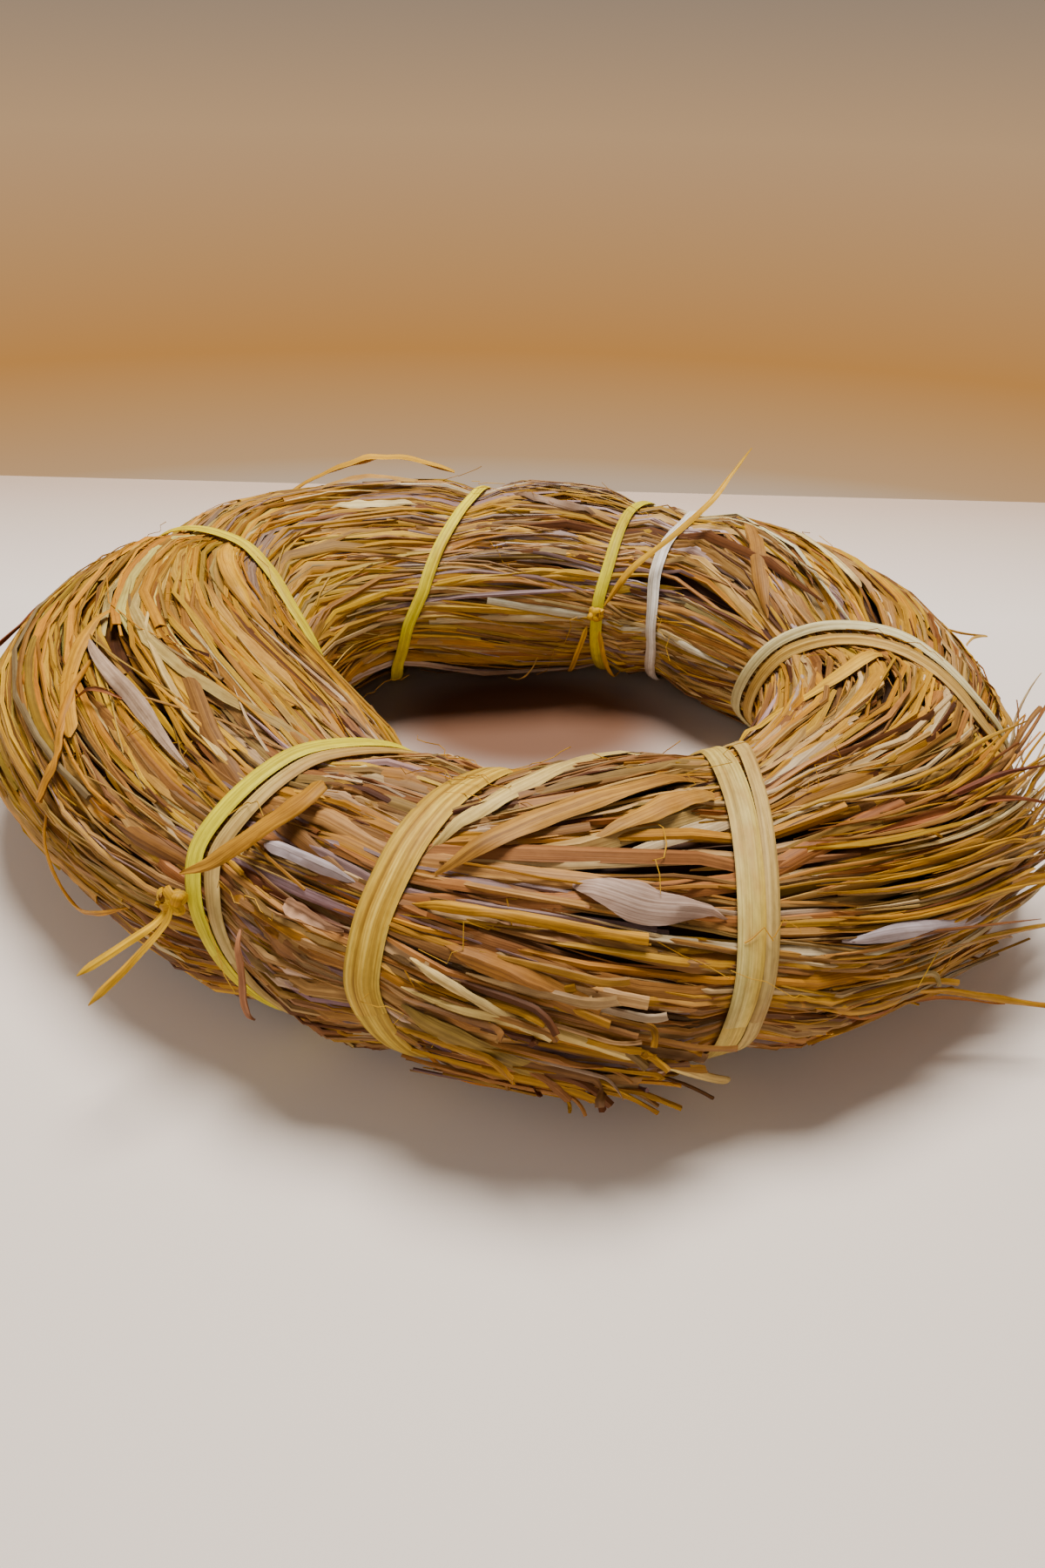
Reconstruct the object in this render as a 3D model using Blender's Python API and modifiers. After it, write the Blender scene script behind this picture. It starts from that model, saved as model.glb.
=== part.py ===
"""A ring-shaped bundle of dried raffia, held by narrow raffia ties.

Lengths are in millimetres and angles in degrees until the last step, where mesh points
are written in metres. The ring lies flat. theta runs around the ring, counter-clockwise
from +X, and phi runs around its section: 0 outwards, 90 on top, 180 towards the hole.
"""
import math
import random

import bmesh
import bpy
from mathutils import Vector
from mathutils.bvhtree import BVHTree

# Ring: centreline radius, half width and half height at equal steps of theta
RING_STATIONS = [
    (112, 35, 33), (109, 38, 33), (108, 44, 33), (100, 46, 35),
    (101, 47, 36), (114, 50, 36), (112, 52, 34), (96, 48, 33),
    (97, 42, 33), (101, 43, 33), (103, 45, 32), (112, 39, 33),
]
RING_STEPS = 64
SECTION_STEPS = 34
FOOT_CUT = 1.2           # height of the slice that the flat underside takes off
ORIGIN_X = -8.45         # middle of the whole bundle's box, from the ring's middle
ORIGIN_Y = -0.29

# Locks of strands, side by side around the section, and how far they lean along the ring
LOCK_HEIGHT = 6.5
LOCK_LEAN = 17.0

# Ties: how far a tie pinches the bundle, and over what length of it
PINCH_DEPTH = 4.8
PINCH_REACH = 11.0

STRIP_THICKNESS = 0.5
CLEARANCE = 0.32
TIE_STEPS = 28

# Centre line of each tie as (phi, theta) pairs, with its width and its colour
TIES = {
    "tie_front_right": (6.2, "pale_green", [
        (0, 290), (18, 291.2), (36, 292.5), (51, 294), (67, 296.2), (97, 301.4), (135, 308),
        (180, 308), (225, 303), (260, 295), (300, 290.4), (330, 289.6)]),
    "tie_front_left": (8.0, "gold", [
        (-11, 260), (12, 258), (40, 258), (70, 259), (90, 260.5), (115, 264), (150, 267),
        (190, 269), (230, 269), (265, 267), (300, 264), (325, 262)]),
    "tie_left_front": (4.6, "yellow", [
        (-10, 243), (15, 239), (40, 236), (74, 236), (93, 236), (120, 241), (150, 244),
        (190, 247), (230, 249), (270, 250), (310, 248), (330, 246)]),
    "tie_left_back": (4.4, "yellow", [
        (20, 153), (75, 154), (106, 155), (126, 160), (141, 167), (165, 175), (190, 178),
        (220, 172), (250, 164), (285, 157), (320, 153), (350, 152)]),
    "tie_back_left": (3.8, "yellow", [
        (35, 96), (69, 98), (93, 102), (114, 108), (132, 114), (150, 119), (175, 124),
        (205, 126), (240, 124), (275, 117), (310, 106), (350, 98)]),
    "tie_back_knot": (3.8, "yellow", [
        (30, 66), (67, 66), (94, 68), (119, 69), (141, 70), (162, 72), (190, 72),
        (230, 70), (270, 69), (315, 67), (350, 66)]),
    "tie_back_white": (3.9, "white", [
        (35, 59), (66, 58), (92, 56), (117, 56), (138, 54), (160, 50), (189, 48),
        (231, 53), (270, 57), (315, 60), (350, 60)]),
    "tie_right": (4.8, "pale_green", [
        (-10, 346), (22, 344), (54, 345), (70, 351), (84, 357), (106, 2), (124, 7),
        (147, 12), (175, 16), (212, 22), (255, 18), (290, 5), (325, 350)]),
}

# Second turns that lie beside a tie: width, colour, and (phi, theta) pairs
SECOND_TURNS = {
    "tie_front_right_edge": (3.3, "gold", [
        (0, 292.3), (18, 293.5), (36, 294.9), (51, 296.6), (67, 299.1), (97, 304.9),
        (135, 313.5), (180, 315), (225, 308.4), (260, 298.6), (300, 293.2), (330, 292)]),
    "tie_right_second": (5.6, "gold", [
        (-10, 341), (22, 339), (54, 340), (70, 346), (87, 351.5), (106, 356.5), (124, 361),
        (147, 367), (175, 371), (212, 377), (255, 373), (290, 359), (325, 345)]),
    "tie_left_front_edge": (4.0, "gold", [
        (-10, 245.3), (15, 241.4), (40, 238.3), (74, 238.7), (93, 239.2), (120, 245),
        (150, 249.2), (190, 253), (230, 254.2), (270, 253.4), (310, 250.6), (330, 248.4)]),
}

# Leaves and strands that lie on the ring or stand off it: width, colour, taper at the
# two ends, and (theta, phi, least height above the ring) along the strand
STRANDS = {
    "front_leaf_upper": (6, "straw", (0.8, 0.6), [
        (261, 66, 0), (266, 84, 0), (272, 100, 0), (284, 126, 0), (301, 136, 0)]),
    "front_leaf_middle": (7.5, "straw", (0.8, 0.7), [
        (263, 58, 0), (271, 76, 0), (282, 90, 0), (299, 102, 0)]),
    "front_leaf_short": (6, "straw", (0.5, 0.7), [(279, 74, 0), (289, 85, 0), (297, 91, 0)]),
    "rolled_leaf": (8, "mauve", (0.5, 0.4), [
        (276, 57.5, 1.5), (279, 54, 2.6), (282.5, 49.5, 3), (287, 47.5, 2.4), (290.6, 44, 1.2)]),
    "lilac_leaf_left": (4, "mauve", (0.5, 0.6), [(244, 51, 0), (248, 51, 0), (255.5, 49.5, 0)]),
    "cut_leaf_upper": (3.5, "ochre", (0.7, 0.9), [(261, 47, 0), (271, 46, 0), (282, 39.5, 1)]),
    "cut_leaf_middle": (5.6, "ochre", (0.7, 0.9), [(265, 35.5, 0), (271, 29, 0), (277.5, 17, 0.8)]),
    "cut_leaf_lower": (3.2, "straw", (0.7, 0.9), [(262.5, 29, 0), (268, 20, 0), (274, 7, 1)]),
    "square_leaf": (6, "straw", (0.8, 1.0), [(262, 10, 0), (268.5, 0, 0), (275, -17, 1)]),
    "low_leaf_right": (3.2, "straw", (0.7, 0.8), [
        (262, 18, 0), (274, 10, 0), (283, -8, 1), (290, -26, 3.5)]),
    "low_leaf_middle": (4, "ochre", (0.7, 0.8), [
        (266, -16, 0), (273, -26, 0), (279, -33, 1), (284, -38, 5)]),
    "low_leaf_left": (4, "ochre", (0.7, 0.8), [
        (263, -24, 0), (269, -33, 0), (275, -38, 2), (279, -41, 5)]),
    "pink_curl_leaf": (5, "mauve", (0.7, 0.6), [(249.5, 35.5, 0.5), (252, 35, 2.5), (255.5, 32, 0.5)]),
    "hanging_curl": (2.8, "mauve", (0.8, 0.6), [
        (245.3, 20, 1), (247.3, 8, 3), (247.2, -7, 3.4), (246.6, -20, 2.5)]),
    "fringe_red_brown": (3, "ochre", (0.8, 0.6), [
        (309, 57, 0), (318, 51, 0.5), (325, 43, 4), (327, 33, 15)]),
    "fringe_fork": (2, "ochre", (0.8, 0.5), [(321, 54, 0), (327, 48, 5), (330, 41, 13)]),
    "fringe_upper": (2, "ochre", (0.8, 0.5), [
        (302, 76, 0), (314, 68, 0.5), (328, 60, 3), (333, 52, 13)]),
    "fringe_middle": (3, "ochre", (0.8, 0.5), [
        (310, 22, 0), (319, 14, 1), (326, 10, 7), (330, 6, 16)]),
    "fringe_low": (3, "ochre", (0.8, 0.6), [
        (297, 6, 0), (306, -7, 0), (314, -15, 3), (319, -17, 12), (323, -15, 25)]),
    "fringe_low_second": (2.5, "ochre", (0.8, 0.6), [
        (301, -4, 0), (311, -22, 1), (318, -27, 7), (323, -26, 18)]),
    "lilac_leaf_right": (5, "mauve", (0.6, 0.6), [(302, 27, 0), (311, 20, 0), (325, -3, 0)]),
    "right_leaf_upper": (7, "ochre", (0.6, 0.6), [
        (350, 95, 0), (345, 112, 0), (334, 128, 0), (322, 138, 0), (314, 141, 0)]),
    "right_leaf_side": (6, "straw", (0.6, 0.6), [(352, 46, 0), (345, 30, 0), (337, 10, 0.5)]),
    "right_loop": (2, "straw", (0.7, 0.7), [
        (2, 40, 0), (6, 30, 6), (8, 22, 12), (12, 20, 7), (15, 26, 1)]),
    "cream_leaf": (3.4, "straw", (0.7, 0.7), [(43, 62, 0), (31, 76, 0), (21, 85, 0), (11, 92, 0)]),
    "left_bent_leaf": (3.6, "orange", (0.7, 1.0), [
        (194, 66, 0), (203, 44, 0), (208, 33, 2.5), (211, 20, 4)]),
    "left_loop_strand": (2, "orange", (0.7, 0.7), [
        (209, 18, 0), (213, 2, 3), (219, -14, 5), (226, -6, 4), (231, 4, 0.5)]),
    "left_curl": (2.6, "ochre", (0.8, 0.8), [(199, 54, 0), (203, 60, 4), (208, 66, 0)]),
    "left_tuft": (3, "ochre", (0.8, 0.5), [(168, 34, 0), (174, 24, 2), (180, 14, 7), (185, 6, 12)]),
    "left_leaf_upper": (6, "orange", (0.6, 0.7), [
        (157, 101, 0), (164, 106, 0), (172, 114, 0), (181, 124, 0)]),
    "left_leaf_middle": (6, "orange", (0.6, 0.7), [
        (183, 78, 0), (190, 66, 0), (199, 52, 0), (206, 44, 0)]),
    "left_leaf_lower": (6, "mauve", (0.6, 0.7), [
        (188, 69, 0), (201, 68, 0), (214, 66, 0), (228, 62, 0)]),
    "back_tuft": (10, "ochre", (0.5, 0.6), [
        (136, 58, 1), (126, 64, 7), (116, 67, 9), (104, 68, 3)]),
    "back_tuft_second": (7, "straw", (0.5, 0.6), [
        (134, 78, 1), (124, 82, 5), (113, 83, 2)]),
    "back_leaf_inner": (6, "straw", (0.6, 0.6), [(134, 101, 0), (126, 103, 0), (115, 105, 0)]),
    "back_leaf_upper": (6, "mauve", (0.6, 0.6), [(93, 96, 0), (84, 104, 0), (74, 106, 0)]),
    "back_leaf_right": (6.4, "straw", (0.7, 0.6), [
        (46, 80, 0), (38, 98, 0), (30, 116, 0), (18, 138, 0)]),
    "hole_curl": (1.8, "straw", (0.8, 0.8), [
        (88, 204, 0), (90, 210, 4), (93, 216, 5), (96, 222, 3)]),
}

# Ends of the two knotted ties, given like the strands
TIE_ENDS = {
    "tail_front_upper": (2.2, "yellow", (0.9, 0.5), [
        (237.5, 12, 6), (236.8, 8, 13), (236, 3.8, 22.3)]),
    "tail_front_lower": (2.2, "yellow", (0.9, 0.5), [
        (239.6, 10, 6), (238.6, 5, 14), (237.4, -1, 23.5)]),
    "tail_front_leaf": (5, "ochre", (0.5, 0.8), [
        (237.8, 31, 3.2), (240.8, 40, 3.2), (244, 55, 3.4), (246.2, 66, 3.6), (246.8, 76, 3.4)]),
    "tail_back_long": (2.8, "yellow", (0.9, 0.6), [
        (69, 164, 3), (61, 146, 4), (52, 124, 6), (49.5, 100, 9), (50, 82, 16), (50, 71, 25)]),
    "tail_back_left": (2.5, "yellow", (0.9, 0.7), [(75, 176, 3), (78, 198, 2), (80, 226, 1)]),
    "tail_back_right": (2.5, "yellow", (0.9, 0.7), [(70, 178, 3), (67, 200, 2), (64, 230, 1)]),
}

# Knots: theta, phi, and half length, half width and half height
KNOTS = {
    "knot_left_front": (237.6, 21, 5.2, 4.0, 3.0),
    "knot_back": (72, 169, 4.0, 3.2, 2.6),
}

COLOURS = {
    "straw": (0.58, 0.40, 0.18),
    "ochre": (0.50, 0.29, 0.09),
    "orange": (0.62, 0.37, 0.06),
    "mauve": (0.45, 0.36, 0.31),
    "yellow": (0.68, 0.52, 0.12),
    "gold": (0.60, 0.41, 0.14),
    "pale_green": (0.62, 0.55, 0.27),
    "white": (0.70, 0.66, 0.56),
}


def clear_scene():
    for ob in list(bpy.data.objects):
        bpy.data.objects.remove(ob)


def spline(values, place, periodic):
    """Catmull-Rom value at a place counted in keys."""
    count = len(values)
    i = int(math.floor(place))
    f = place - i
    if periodic:
        a, b, c, d = (values[(i + k) % count] for k in (-1, 0, 1, 2))
    else:
        i = min(i, count - 2)
        f = place - i
        b, c = values[i], values[i + 1]
        a = values[i - 1] if i > 0 else 2 * b - c
        d = values[i + 2] if i + 2 < count else 2 * c - b
    return b + 0.5 * f * (c - a + f * (2 * a - 5 * b + 4 * c - d + f * (3 * (b - c) + d - a)))


def station(theta, column):
    place = (theta % 360.0) / 360.0 * len(RING_STATIONS)
    return spline([s[column] for s in RING_STATIONS], place, True)


def ring_point(theta, phi, lift=0.0):
    """Point at a height above the plain ring, and the direction straight off it."""
    radius, wide, high = (station(theta, k) for k in range(3))
    step = 0.1
    ahead, behind = station(theta + step, 0), station(theta - step, 0)
    t0, t1 = math.radians(theta - step), math.radians(theta + step)
    along_x = ahead * math.cos(t1) - behind * math.cos(t0)
    along_y = ahead * math.sin(t1) - behind * math.sin(t0)
    outward = Vector((along_y, -along_x, 0)).normalized()
    t, p = math.radians(theta), math.radians(phi)
    centre = Vector((radius * math.cos(t), radius * math.sin(t), high))
    up = Vector((0, 0, 1))
    point = centre + outward * (wide * math.cos(p)) + up * (high * math.sin(p))
    normal = (outward * (math.cos(p) / wide) + up * (math.sin(p) / high)).normalized()
    return point + normal * lift, normal


def tie_theta(pairs, phi):
    """Theta of a tie's centre line at a phi, from its pairs, all the way round."""
    first = pairs[0][0]
    phi = (phi - first) % 360.0 + first
    count = len(pairs)
    for i in range(count):
        low = pairs[i][0]
        high = pairs[(i + 1) % count][0] + (360.0 if i == count - 1 else 0.0)
        if low <= phi <= high:
            thetas = []
            for k in (-1, 0, 1, 2):
                value = pairs[(i + k) % count][1]
                near = pairs[i][1]
                thetas.append(value + 360.0 * round((near - value) / 360.0))
            a, b, c, d = thetas
            f = (phi - low) / (high - low)
            return b + 0.5 * f * (
                c - a + f * (2 * a - 5 * b + 4 * c - d + f * (3 * (b - c) + d - a)))
    return pairs[0][1]


def turn_between(a, b):
    """Shortest turn from b to a."""
    return (a - b + 180.0) % 360.0 - 180.0


def lock_lean(theta):
    """How far the locks have turned around the section at a theta."""
    t = math.radians(theta)
    return LOCK_LEAN * (math.sin(t + 2.2) + 0.4 * math.sin(3.0 * t + 0.7))


def lock_share(theta, lock):
    """How full a lock is at a theta, from slow waves of its own."""
    t = math.radians(theta)
    pick = random.Random(lock)
    first, second = pick.uniform(0, 6.28), pick.uniform(0, 6.28)
    return 0.62 + 0.26 * math.sin(3.0 * t + first) + 0.16 * math.sin(8.0 * t + second)


def bundle_lift(theta, phi, lock, ridge):
    """Height of the bundle's skin above the plain ring, on a ridge or in a valley."""
    flat = min(1.0, 4.0 * max(0.0, -math.sin(math.radians(phi)) - 0.6))
    height = LOCK_HEIGHT * lock_share(theta, lock)
    lift = (height * 0.55 if ridge else -height * 0.45) * (1.0 - flat)
    radius, wide = station(theta, 0), station(theta, 1)
    reach = math.radians(1.0) * (radius + wide * math.cos(math.radians(phi)))
    for _, _, pairs in {**TIES, **SECOND_TURNS}.values():
        gap = turn_between(theta, tie_theta(pairs, phi)) * reach
        share = math.exp(-(gap / PINCH_REACH) ** 2)
        lift += (-PINCH_DEPTH - 1.0 * flat - lift) * share
    return lift


def to_model(point):
    """From the ring's own millimetres to the model's metres."""
    return Vector((point.x - ORIGIN_X, point.y - ORIGIN_Y, point.z - FOOT_CUT)) * 0.001


def make_material(name):
    material = bpy.data.materials.new(name)
    material.use_nodes = True
    shader = material.node_tree.nodes["Principled BSDF"]
    shader.inputs["Base Color"].default_value = (*COLOURS[name], 1.0)
    shader.inputs["Roughness"].default_value = 0.6
    shader.inputs["Metallic"].default_value = 0.0
    return material


def link(name, mesh_maker, material, collection):
    """Object of a bmesh, smooth shaded, in the bundle's collection."""
    mesh = bpy.data.meshes.new(name)
    mesh_maker.to_mesh(mesh)
    mesh_maker.free()
    mesh.materials.append(material)
    mesh.shade_smooth()
    ob = bpy.data.objects.new(name, mesh)
    collection.objects.link(ob)
    return ob


class Ground:
    """Everything laid so far, for laying the next strip on top of it."""

    def __init__(self):
        self.points = []
        self.faces = []
        self.tree = None

    def add(self, ob):
        bpy.context.view_layer.update()
        shape = ob.evaluated_get(bpy.context.evaluated_depsgraph_get())
        mesh = shape.to_mesh()
        start = len(self.points)
        self.points.extend(v.co.copy() for v in mesh.vertices)
        self.faces.extend([start + i for i in face.vertices] for face in mesh.polygons)
        shape.to_mesh_clear()
        self.tree = BVHTree.FromPolygons(self.points, self.faces)

    def height(self, point, normal):
        """Height of what lies under a point of the plain ring, in millimetres."""
        far = 40.0
        hit = self.tree.ray_cast(to_model(point + normal * far), -normal, 0.07)
        return far - hit[3] * 1000.0 if hit[0] is not None else -6.0


def strip_rows(route, width, tapers, closed, ground):
    """Left and right edge points of a strip laid along (theta, phi, height) places."""
    count = len(route)
    centres = [ring_point(theta, phi) for theta, phi, _ in route]
    sides = []
    for i in range(count):
        after = centres[(i + 1) % count][0] if closed else centres[min(i + 1, count - 1)][0]
        before = centres[i - 1][0] if closed or i else centres[0][0]
        sides.append((after - before).cross(centres[i][1]).normalized())
    halves = []
    for i in range(count):
        share = 1.0
        if not closed:
            place = i / (count - 1)
            share = min(1.0, tapers[0] + place * 3.0, tapers[1] + (1.0 - place) * 3.0)
        halves.append(width * 0.5 * share)
    heights = []
    clearance = CLEARANCE + (0.8 if closed else 0.15)
    for i in range(count):
        point, normal = centres[i]
        top = -9.0
        for across in (-1.25, -0.85, -0.4, 0.0, 0.4, 0.85, 1.25):
            place = point + sides[i] * (across * halves[i])
            top = max(top, ground.height(place, normal))
            for other in ((i + 1) % count, i - 1):
                if closed or 0 <= other < count:
                    for share in (0.25, 0.5, 0.75, 1.0):
                        step = (centres[other][0] - point) * share
                        top = max(top, ground.height(place + step, normal))
        heights.append(max(top + clearance, route[i][2]))
    smooth = list(heights)
    for _ in range(3):
        source = list(smooth)
        for i in range(count):
            left = source[i - 1] if closed or i else source[0]
            right = source[(i + 1) % count] if closed or i < count - 1 else source[-1]
            smooth[i] = max(heights[i], 0.25 * left + 0.5 * source[i] + 0.25 * right)
    rows = []
    for i in range(count):
        point, normal = centres[i]
        middle = point + normal * smooth[i]
        rows.append((middle - sides[i] * halves[i], middle + sides[i] * halves[i], normal))
    return rows


def finish_strip(name, maker, outward, material, collection, ground):
    """Faces turned outwards, thickness added away from the ring, and laid."""
    maker.normal_update()
    face = maker.faces[:][0]
    if face.normal.dot(outward(face)) < 0:
        bmesh.ops.reverse_faces(maker, faces=maker.faces[:])
    ob = link(name, maker, material, collection)
    solid = ob.modifiers.new("thickness", "SOLIDIFY")
    solid.thickness = STRIP_THICKNESS * 0.001
    solid.offset = 1.0
    ground.add(ob)
    return ob


def make_tie(name, width, pairs, material, collection, ground):
    """Closed band around the section, from an open cylinder."""
    route = []
    for i in range(TIE_STEPS):
        phi = 360.0 * i / TIE_STEPS
        route.append((tie_theta(pairs, phi), phi, -9.0))
    rows = strip_rows(route, width, (1, 1), True, ground)
    maker = bmesh.new()
    bmesh.ops.create_cone(
        maker, segments=TIE_STEPS, radius1=1.0, radius2=1.0, depth=2.0, cap_ends=False)
    for vert in maker.verts:
        turn = math.degrees(math.atan2(vert.co.y, vert.co.x)) % 360.0
        i = int(round(turn / 360.0 * TIE_STEPS)) % TIE_STEPS
        vert.co = to_model(rows[i][0] if vert.co.z < 0 else rows[i][1])
    middles = [(to_model((a + b) * 0.5), normal) for a, b, normal in rows]

    def outward(face):
        place = face.calc_center_median()
        return min(middles, key=lambda m: (m[0] - place).length)[1]

    return finish_strip(name, maker, outward, material, collection, ground)


def make_strand(name, width, tapers, keys, material, collection, ground):
    """Flat strip from a grid, laid along its keys."""
    length = 0.0
    for a, b in zip(keys, keys[1:]):
        length += (ring_point(*a)[0] - ring_point(*b)[0]).length
    steps = max(6, min(14, int(round(length / 6.5))))
    route = []
    for i in range(steps + 1):
        place = (len(keys) - 1) * i / steps
        theta, phi, height = (spline([k[c] for k in keys], place, False) for c in range(3))
        route.append((theta, phi, height))
    rows = strip_rows(route, width, tapers, False, ground)
    maker = bmesh.new()
    bmesh.ops.create_grid(maker, x_segments=steps, y_segments=1, size=1.0)
    for vert in maker.verts:
        i = int(round((vert.co.x + 1.0) * 0.5 * steps))
        vert.co = to_model(rows[i][0] if vert.co.y < 0 else rows[i][1])
    middles = [(to_model((a + b) * 0.5), normal) for a, b, normal in rows]

    def outward(face):
        place = face.calc_center_median()
        return min(middles, key=lambda m: (m[0] - place).length)[1]

    return finish_strip(name, maker, outward, material, collection, ground)


def make_bundle(material, collection, ground):
    """The ring of strands, with its locks fused to it and a flat underside."""
    bpy.ops.mesh.primitive_torus_add(
        major_segments=RING_STEPS, minor_segments=SECTION_STEPS,
        major_radius=0.10, minor_radius=0.04)
    ob = bpy.context.active_object
    ob.name = "raffia_bundle"
    ob.data.name = "raffia_bundle"
    for vert in ob.data.vertices:
        x, y, z = vert.co
        theta = math.degrees(math.atan2(y, x))
        phi = math.degrees(math.atan2(z, math.hypot(x, y) - 0.10)) % 360.0
        step = int(round(phi / 360.0 * SECTION_STEPS)) % SECTION_STEPS
        phi += lock_lean(theta)
        lift = bundle_lift(theta, phi, step // 2, step % 2 == 0)
        point, _ = ring_point(theta, phi, lift)
        point.z = max(point.z, FOOT_CUT)
        vert.co = to_model(point)
    ob.data.materials.append(material)
    ob.data.shade_smooth()
    for other in list(ob.users_collection):
        other.objects.unlink(ob)
    collection.objects.link(ob)
    ground.add(ob)
    return ob


def make_knot(name, place, material, collection, ground):
    """Tight knot as a flattened ball that lies on its tie."""
    theta, phi, half_long, half_wide, half_high = place
    point, normal = ring_point(theta, phi)
    along = (ring_point(theta + 1, phi)[0] - point).normalized()
    side = normal.cross(along)
    base = max(
        ground.height(point + along * (half_long * 0.8 * a) + side * (half_wide * 0.8 * b), normal)
        for a in (-1, 0, 1) for b in (-1, 0, 1))
    middle = point + normal * (base + CLEARANCE + half_high)
    maker = bmesh.new()
    bmesh.ops.create_uvsphere(maker, u_segments=12, v_segments=8, radius=1.0)
    for vert in maker.verts:
        x, y, z = vert.co
        vert.co = to_model(
            middle + along * (x * half_long) + side * (y * half_wide) + normal * (z * half_high))
    ob = link(name, maker, material, collection)
    ground.add(ob)
    return ob


def main():
    clear_scene()
    collection = bpy.data.collections.new("raffia_bundle")
    bpy.context.scene.collection.children.link(collection)
    materials = {name: make_material(name) for name in COLOURS}
    ground = Ground()
    make_bundle(materials["straw"], collection, ground)
    for name, (width, colour, pairs) in {**TIES, **SECOND_TURNS}.items():
        make_tie(name, width, pairs, materials[colour], collection, ground)
    for name, place in KNOTS.items():
        make_knot(name, place, materials["yellow"], collection, ground)
    for name, (width, colour, tapers, keys) in {**TIE_ENDS, **STRANDS}.items():
        make_strand(name, width, tapers, keys, materials[colour], collection, ground)
    low = Vector((9, 9, 9))
    high = Vector((-9, -9, -9))
    for point in ground.points:
        low = Vector(map(min, low, point))
        high = Vector(map(max, high, point))
    print("box", [round(v * 1000, 2) for v in (*low, *high)], "faces", len(ground.faces))


main()
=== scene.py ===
import math

import bmesh
import bpy
import numpy as np
from mathutils import Matrix, Vector


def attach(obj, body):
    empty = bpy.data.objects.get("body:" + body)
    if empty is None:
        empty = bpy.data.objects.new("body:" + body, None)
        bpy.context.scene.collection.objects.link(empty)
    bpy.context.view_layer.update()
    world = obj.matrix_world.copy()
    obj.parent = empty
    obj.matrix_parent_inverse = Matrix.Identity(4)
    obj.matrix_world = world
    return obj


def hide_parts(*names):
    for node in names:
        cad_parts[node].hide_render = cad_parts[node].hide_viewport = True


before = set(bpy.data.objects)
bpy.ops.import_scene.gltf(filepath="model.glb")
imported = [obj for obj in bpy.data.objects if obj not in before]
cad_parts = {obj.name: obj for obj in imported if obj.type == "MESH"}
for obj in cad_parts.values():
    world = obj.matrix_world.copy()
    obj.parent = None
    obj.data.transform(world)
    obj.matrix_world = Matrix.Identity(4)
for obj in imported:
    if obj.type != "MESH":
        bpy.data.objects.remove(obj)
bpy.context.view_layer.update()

rng = np.random.default_rng(7)

# the ring's own form in millimetres: centreline radius, half width, half height every 30 degrees
# theta runs round the ring from +X, phi round its section: 0 outwards, 90 on top, 180 to the hole
ringForm = {
    "stations": [
        (112, 35, 33), (109, 38, 33), (108, 44, 33), (100, 46, 35),
        (101, 47, 36), (114, 50, 36), (112, 52, 34), (96, 48, 33),
        (97, 42, 33), (101, 43, 33), (103, 45, 32), (112, 39, 33)],
    "shift": (8.45, 0.29, -1.2),
    "pinchDepth": 4.6,
    "pinchReach": 11.0,
}
stationTable = np.array(ringForm["stations"], float)

# ties: width, colour, (phi, theta) pairs
tieForm = {
    "tie_front_right": (6.2, "tiePale", [
        (0, 290), (18, 291.2), (36, 292.5), (51, 294), (67, 296.2), (97, 301.4), (135, 308),
        (180, 308), (225, 303), (260, 295), (300, 290.4), (330, 289.6)]),
    "tie_front_left": (8.0, "tieGold", [
        (-11, 260), (12, 258), (40, 258), (70, 259), (90, 260.5), (115, 264), (150, 267),
        (190, 269), (230, 269), (265, 267), (300, 264), (325, 262)]),
    "tie_left_front": (4.6, "tieYellow", [
        (-10, 243), (15, 239), (40, 236), (74, 236), (93, 236), (120, 241), (150, 244),
        (190, 247), (230, 249), (270, 250), (310, 248), (330, 246)]),
    "tie_left_back": (4.4, "tieYellow", [
        (20, 153), (75, 154), (106, 155), (126, 160), (141, 167), (165, 175), (190, 178),
        (220, 172), (250, 164), (285, 157), (320, 153), (350, 152)]),
    "tie_back_left": (3.8, "tieYellow", [
        (35, 96), (69, 98), (93, 102), (114, 108), (132, 114), (150, 119), (175, 124),
        (205, 126), (240, 124), (275, 117), (310, 106), (350, 98)]),
    "tie_back_knot": (3.8, "tieYellow", [
        (30, 66), (67, 66), (94, 68), (119, 69), (141, 70), (162, 72), (190, 72),
        (230, 70), (270, 69), (315, 67), (350, 66)]),
    "tie_back_white": (3.9, "tieWhite", [
        (35, 59), (66, 58), (92, 56), (117, 56), (138, 54), (160, 50), (189, 48),
        (231, 53), (270, 57), (315, 60), (350, 60)]),
    "tie_right": (4.8, "tieCream", [
        (-10, 346), (22, 344), (54, 345), (70, 351), (84, 357), (106, 2), (124, 7),
        (147, 12), (175, 16), (212, 22), (255, 18), (290, 5), (325, 350)]),
    "tie_front_right_edge": (3.3, "tieTan", [
        (0, 292.3), (18, 293.5), (36, 294.9), (51, 296.6), (67, 299.1), (97, 304.9),
        (135, 313.5), (180, 315), (225, 308.4), (260, 298.6), (300, 293.2), (330, 292)]),
    "tie_right_second": (5.6, "tieTan", [
        (-10, 341), (22, 339), (54, 340), (70, 346), (87, 351.5), (106, 356.5), (124, 361),
        (147, 367), (175, 371), (212, 377), (255, 373), (290, 359), (325, 345)]),
    "tie_left_front_edge": (4.0, "tieTan", [
        (-10, 245.3), (15, 241.4), (40, 238.3), (74, 238.7), (93, 239.2), (120, 245),
        (150, 249.2), (190, 253), (230, 254.2), (270, 253.4), (310, 250.6), (330, 248.4)]),
}


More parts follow.
